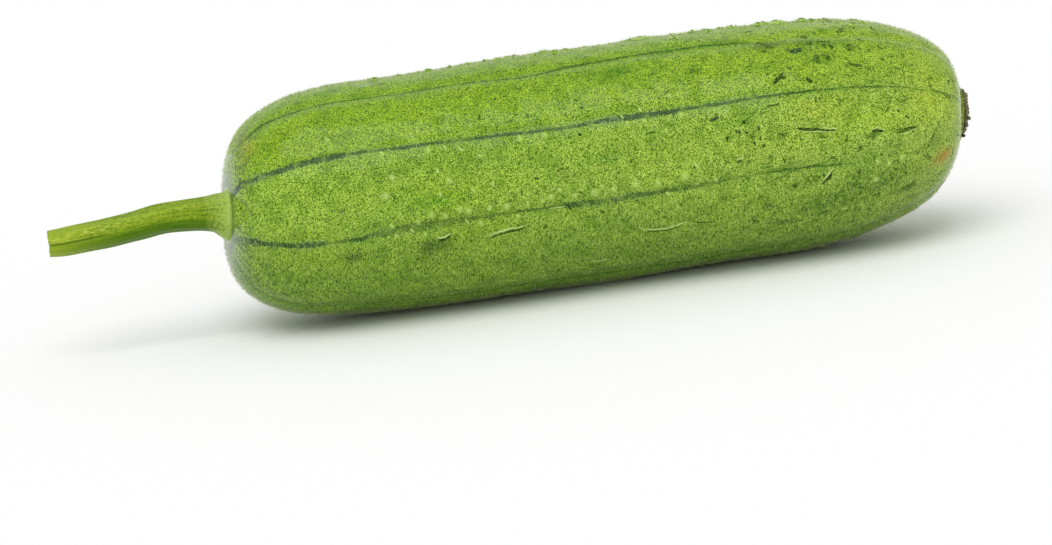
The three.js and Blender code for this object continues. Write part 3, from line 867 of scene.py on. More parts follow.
def lying_strips(name, material, paths, half_widths, heights, tones, sides, taper):
    """A piece of closed strips that lie on the skin along paths of (along, angle), each of one
    tone. The section is an ellipse sunk a little into the skin, and its width falls to the ends
    as (1 - |2t - 1| to the power taper) to the power one half."""
    count, stations, _ = paths.shape
    here, _, _, outwards = skin_frames(paths[..., 0], paths[..., 1])
    sideways = unit(np.cross(outwards, unit(np.gradient(here, axis=1))))
    t = np.linspace(0, 1, stations)
    fade = np.maximum(np.maximum(1 - np.abs(2 * t - 1) ** taper, 0.0) ** 0.5, LEAST_WIDTH)
    turn = FULL_TURN * np.arange(sides) / sides
    width = (half_widths[:, None] * fade)[..., None, None]
    height = (heights[:, None] * fade)[..., None, None]
    across = sideways[:, :, None, :] * width * np.cos(turn)[:, None]
    rise = outwards[:, :, None, :] * height * (np.sin(turn)[:, None] - MARK_SINK)
    points = above_floor(here[:, :, None, :] + across + rise).reshape(-1, 3)
    walls, caps = tube_faces(count, stations, sides)
    piece = new_piece(name, points, [walls[:, ::-1], caps], material)
    paint(piece, "tone", np.repeat(tones, stations * sides, 0))
    return piece


def along_line(places, count, draw):
    """A line of (along, angle) places at equal steps, its corners rounded, with seeded wander."""
    at = np.linspace(0, 1, len(places))
    line = np.stack([np.interp(np.linspace(0, 1, count), at, part) for part in places.T], -1)
    smooth = np.pad(line, ((1, 1), (0, 0)), mode="edge")
    line[1:-1] = (smooth[:-2] + 2 * smooth[1:-1] + smooth[2:])[1:-1] / 4
    line[1:-1, 0] += draw.normal(0, MARK_WANDER, count - 2)
    line[1:-1, 1] += draw.normal(0, MARK_WANDER, count - 2) / fruit_radius(line[1:-1, 0])
    return line


def make_marks(material):
    """The scabs, folds, cracks and scratches of the photograph."""
    draw = np.random.default_rng(31)
    pixels = [np.reshape(mark[3:], (-1, 2)) for mark in MARKS]
    ends = np.cumsum([len(part) for part in pixels])
    places = np.split(on_skin(np.concatenate(pixels)), ends[:-1])
    lines = np.stack([along_line(part, MARK_STATIONS, draw) for part in places])
    colours, wider = zip(*(MARK_TONES[mark[0]] for mark in MARKS))
    widths = np.array([mark[1] for mark in MARKS]) * wider
    heights = np.array([mark[2] for mark in MARKS])
    # the pale and dark tones along cracks are partly painted highlight and painted shade
    tones = np.array([linear(colour) for colour in colours])
    shape = MARK_SIDES, MARK_TAPER
    return lying_strips("rind_scabs_and_painted_light", material, lines, widths, heights, tones, *shape)


PIMPLE_STATIONS = 7
PIMPLE_SIDES = 8
PIMPLE_TAPER = 2.2
PIMPLE_SLANT = np.radians(-62)
PIMPLE_SLANT_SPREAD = 0.25
LONGEST_CAP = 1.4
CAP_HALF_WIDTHS = (0.28, 0.4)
CAP_HEIGHT_SHARE = 0.45
PIMPLE_TONE_AND_HIGHLIGHT = "#b9d66e"
CREST_TONE = "#5d8628"
CREST_ANGLE = np.radians(100)
CREST_HALF_WIDTH = np.radians(20)


def make_pimple_caps(material):
    """The cap of each pimple: a short fat strip on it that lies aslant round the fruit, pale, or
    dark on those along the top."""
    draw = np.random.default_rng(37)
    along, angle, reach, height = PIMPLE_BUMPS.T[..., None]
    slant = PIMPLE_SLANT + draw.normal(0, PIMPLE_SLANT_SPREAD, along.shape)
    ahead = np.linspace(-1, 1, PIMPLE_STATIONS) * np.minimum(reach, LONGEST_CAP)
    paths = [along + ahead * np.cos(slant), angle + ahead * np.sin(slant) / fruit_radius(along)]
    paths = np.stack(paths, -1)
    widths = draw.uniform(*CAP_HALF_WIDTHS, len(along))
    heights = CAP_HEIGHT_SHARE * height[:, 0]
    on_crest = np.abs(angle - CREST_ANGLE) < CREST_HALF_WIDTH
    # the pale caps are partly painted highlight
    tones = np.where(on_crest, linear(CREST_TONE), linear(PIMPLE_TONE_AND_HIGHLIGHT))
    shape = PIMPLE_SIDES, PIMPLE_TAPER
    return lying_strips("rind_pimples", material, paths, widths, heights, tones, *shape)


FLECK_COUNT = 420
FLECK_STATIONS = 4
FLECK_SIDES = 6
FLECK_TONES = ["#3a5c12", "#446a18", "#35561c", "#52791f", "#2c4710", "#8fae48"]
FLECK_TAPER = 2.0
FLECK_HALF_WIDTHS = (0.25, 0.6)
FLECK_HEIGHT = 0.07
LEAST_FLECK = 0.6
FLECK_SLANT_SPREAD = 0.7
FLECK_BEND = 0.25
FLECKS_ACROSS = 0.3


def make_flecks(material):
    """Seeded flecks of the rind: short flat strips, most of them towards the blossom end and
    in loose clusters beside the veins."""
    draw = np.random.default_rng(47)
    along = FRUIT_LENGTH * (1 - 0.93 * draw.beta(1.25, 1.9, FLECK_COUNT))
    along = np.clip(along, 8, FRUIT_LENGTH - 4)[:, None]
    vein = VEIN_ANGLES[draw.integers(len(VEINS), size=FLECK_COUNT)]
    angle = vein + np.radians(draw.choice([-1, 1], FLECK_COUNT) * draw.gamma(2.2, 5, FLECK_COUNT))
    length = (draw.gamma(3, 0.3, FLECK_COUNT) + LEAST_FLECK)[:, None]
    slant = draw.normal(0, FLECK_SLANT_SPREAD, FLECK_COUNT)
    slant += np.where(draw.random(FLECK_COUNT) < FLECKS_ACROSS, np.pi / 2, 0)
    cos, sin = np.cos(slant)[:, None], np.sin(slant)[:, None]
    t = np.linspace(-0.5, 0.5, FLECK_STATIONS)
    bend = draw.normal(0, FLECK_BEND, FLECK_COUNT)[:, None] * t**2 * length
    ahead = length * t
    line_angle = angle[:, None] + (ahead * sin + bend * cos) / fruit_radius(along)
    line_along = np.clip(along + ahead * cos - bend * sin, 3, FRUIT_LENGTH - 2)
    paths = np.stack([line_along, line_angle], -1)
    widths = draw.uniform(*FLECK_HALF_WIDTHS, FLECK_COUNT)
    heights = np.full(FLECK_COUNT, FLECK_HEIGHT)
    tones = np.array([linear(tone) for tone in FLECK_TONES])
    tones = tones[draw.integers(len(tones), size=FLECK_COUNT)]
    shape = FLECK_SIDES, FLECK_TAPER
    return lying_strips("rind_flecks", material, paths, widths, heights, tones, *shape)


LEAST_TIP_HEIGHT = 0.02


def make_hairs(name, material, places, lengths, root_radii, leans, sink):
    """A piece of closed hairs of four faces each: three points round the root, sunk under the
    skin, and a tip at a length from it, leaning along and round off the skin's outward way."""
    root, along_way, round_way, outwards = skin_frames(*places)
    way = unit(outwards + leans[0][:, None] * along_way + leans[1][:, None] * round_way)
    side = unit(np.cross(way, along_way + 0.3 * round_way))
    turn = (FULL_TURN * np.arange(3) / 3)[:, None]
    spokes = np.cos(turn) * side[:, None, :] + np.sin(turn) * np.cross(way, side)[:, None, :]
    ring = (root - outwards * sink)[:, None, :] + root_radii[:, None, None] * spokes
    tip = above_floor(root + way * lengths[:, None], LEAST_TIP_HEIGHT)
    points = np.concatenate([above_floor(ring), tip[:, None, :]], 1)
    one = np.array([[0, 1, 3], [1, 2, 3], [2, 0, 3], [2, 1, 0]])
    faces = (one + (4 * np.arange(len(root)))[:, None, None]).reshape(-1, 3)
    return new_piece(name, points.reshape(-1, 3), [faces], material, smooth=False)


AREA_SAMPLES = 2000
HAIRLESS_END = 1.5


def skin_places(count, draw):
    """Seeded places (along, angle) spread evenly over the skin's area."""
    along = np.linspace(HAIRLESS_END, FRUIT_LENGTH - HAIRLESS_END, AREA_SAMPLES)
    radius = fruit_radius(along)
    share = np.cumsum(radius * np.hypot(np.gradient(along), np.gradient(radius)))
    along = np.interp(draw.uniform(share[0], share[-1], count), share, along)
    return along, draw.uniform(0, FULL_TURN, count)


# Upright hairs: how deep their roots are sunk, the mean and spread of their leans, and for each
# kind how many there are and the bounds of their length and root radius
HAIR_SINK = 0.06
LEAN_ALONG = (0.2, 0.5)
LEAN_ROUND = (0, 0.6)
FUZZ_COUNT = 42000
FUZZ_BOUNDS = [(0.4, 0.95), (0.04, 0.07)]
NECK_DOWN_COUNT = 2300
NECK_DOWN_BOUNDS = [(0.4, 1.0), (0.03, 0.05)]
# The fuzz along the fruit's top: what share of it stands there, round which angle
CREST_SHARE = 0.3
CREST_FUZZ = np.radians([102, 9])
# The neck's down: from which share of the profile it starts, over which it spreads
NECK_DOWN_FROM = 0.015
NECK_DOWN_REACH = 0.085
# Hairs that lie flat: how many places are tried, and the bounds of length, root radius and lean
BRISTLE_TRIES = 18000
BRISTLE_BOUNDS = [(0.8, 1.9), (0.05, 0.085)]
BRISTLE_LEAN = (4, 9)


def make_upright_hairs(name, material, places, bounds, draw):
    """Hairs that stand off the skin at places on it."""
    count = len(places[0])
    lengths, root_radii = (draw.uniform(*pair, count) for pair in bounds)
    leans = draw.normal(*LEAN_ALONG, count), draw.normal(*LEAN_ROUND, count)
    return make_hairs(name, material, places, lengths, root_radii, leans, HAIR_SINK)


def make_fuzz(material):
    """Fine short hairs that stand off the rind all over, thicker along its top, where nothing
    has rubbed them off."""
    draw = np.random.default_rng(61)
    along, angle = skin_places(FUZZ_COUNT, draw)
    crest = draw.random(FUZZ_COUNT) < CREST_SHARE
    angle = np.where(crest, draw.normal(*CREST_FUZZ, FUZZ_COUNT), angle)
    return make_upright_hairs("rind_fuzz", material, (along, angle), FUZZ_BOUNDS, draw)


def make_neck_down(material):
    """Pale down that stands thick on the shoulder round the stem, so the fruit's left rim shows
    whitish. It thins out away from the stem."""
    draw = np.random.default_rng(73)
    share = NECK_DOWN_FROM + NECK_DOWN_REACH * draw.beta(1.6, 1.7, NECK_DOWN_COUNT)
    along = fruit_stations(PROFILE_SAMPLES)[(share * PROFILE_SAMPLES).astype(int)]
    places = along, draw.uniform(0, FULL_TURN, NECK_DOWN_COUNT)
    return make_upright_hairs("neck_down", material, places, NECK_DOWN_BOUNDS, draw)


def make_bristles(material):
    """Longer hairs that lie flat, most of them round the fruit and on its lower half."""
    draw = np.random.default_rng(67)
    along, angle = skin_places(BRISTLE_TRIES, draw)
    low = smooth_step(-np.sin(angle), -0.5, 0.6)
    kept = draw.random(BRISTLE_TRIES) < 0.12 + 0.5 * low
    places = along[kept], angle[kept]
    count = len(places[0])
    lengths, root_radii = (draw.uniform(*pair, count) for pair in BRISTLE_BOUNDS)
    lean_along = draw.normal(0, 1.2, count)
    lean_round = draw.choice([-1, 1], count) * draw.uniform(*BRISTLE_LEAN, count)
    leans = lean_along, lean_round
    return make_hairs("rind_bristles", material, places, lengths, root_radii, leans, 0)


# The stem


def stem_line(share):
    """Points and ways of the stem's centre line at shares of its length: a centripetal
    Catmull-Rom curve through the route, its ends mirrored."""
    start = fruit_centre(np.array(0.0)) + NECK_OUT * GROWN_GAP + PLACE
    knots = start + STEM_ROUTE[:, [0, 2, 1]] * [-1, 1, 1]
    knots = np.concatenate([[2 * knots[0] - knots[1]], knots, [2 * knots[-1] - knots[-2]]])
    gaps = np.linalg.norm(np.diff(knots, axis=0), axis=1)[:, None] ** 0.5
    p0, p1, p2, p3 = knots[:-3], knots[1:-2], knots[2:-1], knots[3:]
    d0, d1, d2 = gaps[:-2], gaps[1:-1], gaps[2:]
    leave = ((p1 - p0) / d0 - (p2 - p0) / (d0 + d1) + (p2 - p1) / d1) * d1
    arrive = ((p2 - p1) / d1 - (p3 - p1) / (d1 + d2) + (p3 - p2) / d2) * d1
    t = np.linspace(0, 1, ROUTE_SPLITS, endpoint=False)[None, :, None]
    cubic = (
        p1[:, None]
        + leave[:, None] * t
        + (3 * (p2 - p1) - 2 * leave - arrive)[:, None] * t**2
        + (2 * (p1 - p2) + leave + arrive)[:, None] * t**3
    )
    fine = np.concatenate([cubic.reshape(-1, 3), [knots[-2]]])
    arc = np.concatenate([[0], np.cumsum(np.linalg.norm(np.diff(fine, axis=0), axis=1))])
    both = np.concatenate([fine, unit(np.gradient(fine, arc, axis=0))], -1)
    both = np.stack([np.interp(share * arc[-1], arc, part) for part in both.T], -1)
    return both[:, :3], both[:, 3:], arc[-1]


def band(share, angle, line, spread):
    """A bell-shaped band round a line given as share of the stem's length and angle."""
    middle = np.interp(share, line[:, 0], np.radians(line[:, 1]))
    return np.exp(-((turn_between(angle, middle) / spread) ** 2))


def make_stem(material):
    """The stem: five soft ridges that twist along a bent line, with fine grooves lengthwise,
    flared where it meets the neck. Its cut face is dished and frayed at the rim."""
    share = np.linspace(0, 1, STEM_STATIONS) ** STEM_CROWDING
    centre, way, length = stem_line(share)
    out = share * length
    at_root = np.exp(-out / STEM_FLARE_REACH)[:, None]
    at_cut = np.exp((out - length) / STEM_CUT_REACH)
    slope = np.arctan2(way[:, 2], -way[:, 0]) + STEM_CUT_LEAN * at_cut
    front = unit(np.stack([-way[:, 1], way[:, 0], np.zeros_like(out)], -1))
    front = front * (1 - at_root) + NECK_FRONT * at_root
    top = np.stack([np.sin(slope), np.zeros_like(out), np.cos(slope)], -1)
    top = top * (1 - at_root) + NECK_TOP * at_root
    swell = STEM_ROOT_SWELL * np.exp(-out / STEM_SWELL_REACH) - STEM_TAPER * at_cut
    swell = swell[:, None] + STEM_FLARE * at_root
    out = out[:, None]
    angle = FULL_TURN * np.arange(STEM_SIDES) / STEM_SIDES
    turned = angle - STEM_FIRST_RIDGE - STEM_TWIST * share[:, None]
    ridges = STEM_RIDGE_SHARE * (1 - at_root) * np.cos(STEM_RIDGES * turned)
    rough = STEM_LUMP * np.sin(out / 2.9 + 2 * angle) * np.sin(out / 7.3 + 1)
    for depth, number, phase, sway, slowness in STEM_GROOVES:
        rough += depth * np.sin(number * turned + phase + sway * np.sin(out / slowness))
    reach = (STEM_RADIUS + swell) * (1 + ridges) + rough * (1 - at_root)
    # the cut frays its rim, then the face dips towards the pith
    notch = np.exp(-((turn_between(angle, np.radians(GROOVE_LINE[-1, 1])) / NOTCH_SPREAD) ** 2))
    frayed = (CUT_TILT * np.sin(angle) + 0.05 * np.sin(9 * angle + 1) - CUT_NOTCH * notch)[:, None]
    reach[-1] += 0.04 * np.sin(29 * angle) - CUT_NOTCH / 2 * notch
    spokes = np.cos(angle)[:, None] * front[:, None, :] + np.sin(angle)[:, None] * top[:, None, :]
    rings = centre[:, None, :] + reach[..., None] * spokes
    rings[-1] += way[-1] * frayed
    face = [
        centre[-1] + (rings[-1] - centre[-1]) * s + way[-1] * (dip - frayed * s * (1 - s))
        for s, dip in zip(CUT_SHARES, CUT_DIPS)
    ]
    # the root goes on a little way into the fruit
    rings = np.concatenate([rings[:1] - NECK_OUT * ROOT_SINK, rings, np.stack(face)])
    points, faces = lathe(rings)
    piece = new_piece("peduncle", points, [group[:, ::-1] for group in faces], material)
    share = np.concatenate([[0], share, np.ones(len(face))])[:, None]
    cut = np.concatenate([np.zeros(STEM_STATIONS + 1), np.ones(len(face))])[:, None]
    spoke = np.concatenate([np.ones(STEM_STATIONS + 1), CUT_SHARES])[:, None]
    # painted shade in the groove, from about halfway along to the cut
    groove_shade = band(share, angle, GROOVE_LINE, GROOVE_SHADE_SPREAD) * smooth_step(share, 0.5, 0.85)
    # pale scratches, partly painted highlight
    scuffs_and_highlight = band(share, angle, SCUFF_HIGHLIGHT_LINE, SCUFF_HIGHLIGHT_SPREAD)
    scuffs_and_highlight = scuffs_and_highlight * (0.45 + 0.55 * smooth_step(share, 0.4, 0.8))
    turned = angle - STEM_TWIST * share
    paint_lathe(piece, "look", share, cut, spoke, groove_shade)
    paint_lathe(piece, "fibre", np.cos(turned) * spoke, np.sin(turned) * spoke, share, scuffs_and_highlight)
    return piece


# The blossom scar


def scar_rim(angle):
    """How ragged the scar's edge is at an angle, and how thick it stands: sums of sines."""
    rag = 0.07 * np.sin(3 * angle + 1) + 0.05 * np.sin(7 * angle) + 0.04 * np.sin(11 * angle + 2)
    swell = 0.45 * np.sin(angle) + 0.15 * np.sin(5 * angle + 2)
    return rag, SCAR_THICKNESS * (1 + swell)


def on_scar(angle, reach, lift):
    """Points at an angle and a reach from the scar's middle, lifted off the nub."""
    spokes = np.cos(angle)[:, None] * NUB_FRONT + np.sin(angle)[:, None] * NUB_TOP
    return NUB_CENTRE - NUB_INWARDS * lift[..., None] + spokes * reach[..., None]


def make_scar(material):
    """The scar: its profile carried round, dished inside a ragged rim, and roughened by sines
    of the angle and the ring that grow towards the rim."""
    at = np.linspace(0, len(SCAR_PROFILE) - 1, SCAR_RINGS)[:, None]
    width, height = (np.interp(at, np.arange(len(SCAR_PROFILE)), part) for part in SCAR_PROFILE.T)
    angle = FULL_TURN * np.arange(SCAR_SIDES) / SCAR_SIDES
    rag, thickness = scar_rim(angle)
    coarse = 0.16 * np.sin(13 * angle + 3 * at) + 0.12 * np.sin(21 * angle - 5 * at)
    coarse += 0.1 * np.sin(34 * angle + 7 * at) * np.sin(3 * angle)
    reach = SCAR_RADIUS * width * (1 + rag * width) + coarse * width * 0.8
    lift = GROWN_GAP + height * (SCAR_DISH + (thickness - SCAR_DISH) * width)
    lift = np.maximum(lift + coarse * smooth_step(at, 1.5, 3) * 0.9, GROWN_GAP * 0.7)
    points, faces = lathe(on_scar(angle, reach, lift))
    return new_piece("blossom_cork", points, faces, material)


CRUMB_COUNT = 46
CRUMB_RINGS = 5
CRUMB_SIDES = 7


def make_crumbs(material):
    """Crumbs of dry flower on the scar's rim, most of them below: small lumps, each a sphere
    stretched by seeded shares, whose radius goes up and down five times round it."""
    draw = np.random.default_rng(83)
    around = np.radians(draw.normal(-70, 75, CRUMB_COUNT))
    rag, thickness = scar_rim(around)
    reach = SCAR_RADIUS * draw.uniform(0.82, 1.06, CRUMB_COUNT) * (1 + rag)
    lift = GROWN_GAP + thickness * draw.uniform(0.5, 1.1, CRUMB_COUNT)
    centre = on_scar(around, reach, lift)[:, None, None, :]
    tilt = np.pi * (np.arange(CRUMB_RINGS)[:, None] + 0.5) / CRUMB_RINGS
    turn = FULL_TURN * np.arange(CRUMB_SIDES) / CRUMB_SIDES
    ball = [np.sin(tilt) * np.cos(turn), np.sin(tilt) * np.sin(turn), np.cos(tilt)]
    ball = np.stack(np.broadcast_arrays(*ball), -1)
    size = draw.uniform(0.3, 0.75, (CRUMB_COUNT, 1, 1, 1))
    stretch = draw.uniform(0.6, 1.5, (CRUMB_COUNT, 1, 1, 3))
    lump = 1 + 0.3 * np.sin(5 * turn + draw.uniform(0, 6, (CRUMB_COUNT, 1, 1)))
    points = (centre + ball * size * stretch * lump[..., None]).reshape(-1, 3)
    faces = tube_faces(CRUMB_COUNT, CRUMB_RINGS, CRUMB_SIDES)
    return new_piece("scar_crumbs", points, faces, material)


# Materials


def add_node(tree, kind, inputs=(), **settings):
    """Adds a node and gives its outputs. Settings are its own properties. The inputs are listed
    in order, or by name or number, and each is a value or the output that feeds it."""
    node = tree.nodes.new(kind)
    for name, value in settings.items():
        setattr(node, name, value)
    for key, value in inputs.items() if isinstance(inputs, dict) else enumerate(inputs):
        if isinstance(value, bpy.types.NodeSocket):
            tree.links.new(value, node.inputs[key])
        else:
            node.inputs[key].default_value = value
    return node.outputs


def new_material(name):
    """An empty material, and add_node for its tree."""
    material = bpy.data.materials.new(name)
    material.use_nodes = True
    material.node_tree.nodes.clear()
    return material, partial(add_node, material.node_tree)


def per(size):
    """A texture's scale in object coordinates for features of a size in millimetres."""
    return 1 / (size * METRES)


PLACES = "ShaderNodeTexCoord"
STORED = "ShaderNodeAttribute"
SPLIT = "ShaderNodeSeparateColor"
STRETCH = "ShaderNodeMapping"
NOISE = "ShaderNodeTexNoise"
CELLS = "ShaderNodeTexVoronoi"
SPREAD = "ShaderNodeMapRange"
MATH = "ShaderNodeMath"
BLEND = "ShaderNodeMix"
BUMP = "ShaderNodeBump"
SURFACE = "ShaderNodeBsdfPrincipled"
OUTPUT = "ShaderNodeOutputMaterial"

# One over the rind's mean light, so that a stain's colour is what the mean comes out as
STAIN_AND_SHADE_GAIN = (3.9, 2.5, 12.0, 1.0)


def rind_material():
    """Rind of a fresh sponge gourd: a thin waxy cuticle over green cells, grown and not polished.
    The eye sees a fine net of darker green round pale cells of about half a millimetre, wider near
    the stem, dark grey-green vein lines, soft stains, some of them partly painted shade, and a dull
    gloss that shows only where the wax and the down are seen nearly edge-on. Its lower side is
    darkened with painted shade."""
    material, add = new_material("fresh_rind")
    place = add(PLACES)["Object"]
    field = add(STORED, attribute_name="field")
    along, lowness, neck = add(SPLIT, [field["Color"]])
    round_way = add(STORED, attribute_name="round_way")
    pimple = add(SPLIT, [round_way["Color"]])[2]
    look = add(STORED, attribute_name="vein_look")
    half_width, darkness, bloom = add(SPLIT, [look["Color"]])

    # the net of cells, drawn coarser than the real ones so that it shows from where the gourd
    # is seen, and warped so that no cell is round
    warp = add(NOISE, {"Vector": place, "Scale": per(1.0), "Detail": 1})["Color"]
    warp_reach = (0.0006, 0.0006, 0.0006)
    bent = add("ShaderNodeVectorMath", [warp, warp_reach, place], operation="MULTIPLY_ADD")[0]
    cells = add(CELLS, {"Vector": bent, "Scale": per(0.5)})[0]
    wide_cells = {"Vector": bent, "Scale": per(1.5)}
    from_edge = add(CELLS, wide_cells, feature="DISTANCE_TO_EDGE")[0]
    strong_net = add(SPREAD, [from_edge, 0.02, 0.16, 1.5, 0.1])[0]
    neck_net = add(SPREAD, [neck, 0.06, 0.3, 0, 0.9])[0]
    net = add(BLEND, {0: neck_net, 2: cells, 3: strong_net})[0]
    grain = add(NOISE, {"Vector": place, "Scale": per(0.33), "Detail": 1, "Roughness": 0.6})[0]
    # short strokes round the fruit, where hairs were rubbed off, strongest low on its sides
    stretched = add(STRETCH, {"Vector": place, "Scale": (per(0.32), per(1.3), per(1.3))})[0]
    strokes = add(NOISE, {"Vector": stretched, "Scale": 1, "Detail": 1.5, "Roughness": 0.55})[0]
    stroke_share = add(SPREAD, [lowness, 0.1, 0.8, 0.15, 0.65])[0]
    mottle = add(BLEND, {0: stroke_share, 2: grain, 3: strokes})[0]
    # pale in the middle of a cell, dark on the net
    cell_light = add(MATH, [net, -0.45, 0.6], operation="MULTIPLY_ADD")[0]
    light_sum = add(MATH, [mottle, 1.73, cell_light], operation="MULTIPLY_ADD")[0]
    paleness = add(SPREAD, [light_sum, 0.98, 1.52, 0, 1])[0]
    darker = add(SPREAD, [paleness, 0, 0.2, 0, 1])[0]
    paler = add(SPREAD, [paleness, 0.2, 1, 0, 1])[0]
    toned = linear("#3f6806")
    for share, tone in [(darker, "#6e8c16"), (paler, "#cae670")]:
        toned = add(BLEND, {0: share, 6: toned, 7: linear(tone)}, data_type="RGBA")[2]

    # slow drifts of tone, drawn out along the fruit, a darker and yellower tint along the top, and
    # painted shade on the lower side: the grain keeps its strength under them
    drawn_out = add(STRETCH, {"Vector": place, "Scale": (per(34), per(13), per(13))})[0]
    drift = add(NOISE, {"Vector": drawn_out, "Scale": 1, "Detail": 3})[0]
    patches = add(NOISE, {"Vector": place, "Scale": per(4.5), "Detail": 2})[0]
    # each tone's share, and what it leaves of the light
    drifts = [
        (add(SPREAD, [patches, 0.45, 0.65, 0, 0.8])[0], "#d3e0bc"),
        (add(SPREAD, [drift, 0.5, 0.68, 0, 0.4])[0], "#dceae6"),
        (add(SPREAD, [drift, 0.48, 0.32, 0, 0.6])[0], "#fffbd8"),
        (add(SPREAD, [along, 0.25, 0.85, 0.5, 0])[0], "#e0efa8"),
        # darker and yellower along the top
        (round_way["Alpha"], "#ecf3a4"),
        # painted shade: the lower side is darkened to about two thirds
        (add(SPREAD, [lowness, 0.15, 1, 0, 0.55])[0], "#a3b48a"),
    ]
    for share, tint in drifts:
        inputs = {0: share, 6: toned, 7: linear(tint)}
        toned = add(BLEND, inputs, data_type="RGBA", blend_type="MULTIPLY")[2]
    # the blossom end has yellow specks
    ripe_end = add(SPREAD, [along, 0.84, 0.97, 0, 0.45])[0]
    ripe = add(MATH, [ripe_end, paleness], operation="MULTIPLY")[0]
    toned = add(BLEND, {0: ripe, 6: toned, 7: linear("#c2cc5c")}, data_type="RGBA")[2]

    # stains, some of them partly painted shade, their edges broken by the mottle, and soft dark
    # spots of two millimetres, more of them towards the blossom end
    stain_and_shade = add(STORED, attribute_name="stain_and_shade")
    broken = add(SPREAD, [mottle, 0.35, 0.6, 1.3, 0.55])[0]
    stain_and_shade_share = add(MATH, [stain_and_shade["Alpha"], broken], operation="MULTIPLY", use_clamp=True)[0]
    spot_place = add(STRETCH, {"Vector": place, "Scale": (per(3.0), per(1.7), per(1.7))})[0]
    spots = add(NOISE, {"Vector": spot_place, "Scale": 1, "Detail": 2})[0]
    spot = add(SPREAD, [spots, 0.62, 0.7, 0, 0.8])[0]
    spot_share = add(MATH, [spot, field["Alpha"]], operation="MULTIPLY")[0]

    # the vein lines: a band that wanders a little, its edge broken by the cells
    from_vein = add("ShaderNodeUVMap", uv_map="from_vein")[0]
    off_vein = add("ShaderNodeSeparateXYZ", [from_vein])[1]
    wander = add(NOISE, {"Vector": place, "Scale": per(6), "Detail": 2})[0]
    wandered = add(MATH, [wander, 0.9, -0.45], operation="MULTIPLY_ADD")[0]
    off_line = add(MATH, [off_vein, wandered], operation="ADD")[0]
    away = add(MATH, [off_line], operation="ABSOLUTE")[0]
    # a thin line's edge is less ragged
    ragged_share = add(SPREAD, [half_width, 0.2, 0.9, -0.9, -2.6])[0]
    from_mean = add(MATH, [mottle, 0.5], operation="SUBTRACT")[0]
    edge = add(MATH, [from_mean, ragged_share, half_width], operation="MULTIPLY_ADD")[0]
    inside = add(MATH, [edge, away], operation="SUBTRACT")[0]
    band_share = add(SPREAD, [inside, -0.25, 0.2, 0, 1], interpolation_type="SMOOTHSTEP")[0]
    # it fades and comes back every few millimetres
    gaps = add(NOISE, {"Vector": place, "Scale": per(3.6), "Detail": 2})[0]
    whole = add(SPREAD, [gaps, 0.38, 0.52, 0.5, 1.25])[0]
    drawn = add(MATH, [darkness, whole], operation="MULTIPLY")[0]
    vein_share = add(MATH, [band_share, drawn], operation="MULTIPLY", use_clamp=True)[0]
    # thin lines are green, wide ones are a little greyer
    wide = add(SPREAD, [half_width, 0.35, 0.75, 0, 1])[0]
    thin_tones = {0: paleness, 6: linear("#234606"), 7: linear("#4f7c18")}
    wide_tones = {0: paleness, 6: linear("#16300a"), 7: linear("#436a20")}
    thin_tone = add(BLEND, thin_tones, data_type="RGBA")[2]
    wide_tone = add(BLEND, wide_tones, data_type="RGBA")[2]
    vein_tone = add(BLEND, {0: wide, 6: thin_tone, 7: wide_tone}, data_type="RGBA")[2]
    # a faint darker margin two millimetres wide goes with each line
    margin = add(SPREAD, [away, 2.4, 0.4, 0, 0.3])[0]
    margin_share = add(MATH, [margin, darkness], operation="MULTIPLY")[0]
    # pale grey-green bloom lies in and beside some stretches of the lines
    bloom_bits = add(NOISE, {"Vector": place, "Scale": per(1.0), "Detail": 2, "Roughness": 0.6})[0]
    bloom_bit = add(SPREAD, [bloom_bits, 0.44, 0.6, 0, 0.85])[0]
    bloom_band = add(SPREAD, [away, 2, 0.7, 0, 1])[0]
    bloom_near = add(MATH, [bloom_bit, bloom_band], operation="MULTIPLY")[0]
    bloom_share = add(MATH, [bloom_near, bloom], operation="MULTIPLY", use_clamp=True)[0]

    # at the neck: grey and dark streaks that run out from the stem over the lower face, and a
    # dark ring round the stem
    streak_place = add(STRETCH, {"Vector": round_way["Vector"], "Scale": (26, 26, 0)})[0]
    streaks = add(NOISE, {"Vector": streak_place, "Scale": 1, "Detail": 1})[0]
    streak_neck = add(SPREAD, [neck, 0.12, 0.3, 0, 1])[0]
    streak_low = add(SPREAD, [lowness, 0.2, 0.5, 0, 1])[0]
    streak_area = add(MATH, [streak_neck, streak_low], operation="MULTIPLY")[0]
    grey = add(SPREAD, [streaks, 0.51, 0.58, 0, 0.85])[0]
    dark = add(SPREAD, [streaks, 0.48, 0.4, 0, 0.9])[0]
    grey_share = add(MATH, [grey, streak_area], operation="MULTIPLY")[0]
    dark_share = add(MATH, [dark, streak_area], operation="MULTIPLY")[0]
    ring = add(SPREAD, [neck, 0.5, 0.72, 0, 0.9])[0]
    ring_bits = add(SPREAD, [mottle, 0.35, 0.62, 1.2, 0.5])[0]
    ring_share = add(MATH, [ring, ring_bits], operation="MULTIPLY", use_clamp=True)[0]
    # round the nub the skin is olive and cracked
    nub_bits = add(SPREAD, [mottle, 0.62, 0.38, 0.25, 1])[0]
    nub_share = add(MATH, [look["Alpha"], nub_bits], operation="MULTIPLY", use_clamp=True)[0]

    # stains, some partly painted shade, and spots tint the skin by multiplying: they let the grain
    # of the skin through
    stain_and_shade_tone = {0: 1, 6: stain_and_shade["Color"], 7: STAIN_AND_SHADE_GAIN}
    stain_and_shade_tint = add(BLEND, stain_and_shade_tone, data_type="RGBA", blend_type="MULTIPLY")[2]
    for share, tint in [(stain_and_shade_share, stain_and_shade_tint), (spot_share, linear("#8aa878"))]:
        inputs = {0: share, 6: toned, 7: tint}
        toned = add(BLEND, inputs, data_type="RGBA", blend_type="MULTIPLY")[2]
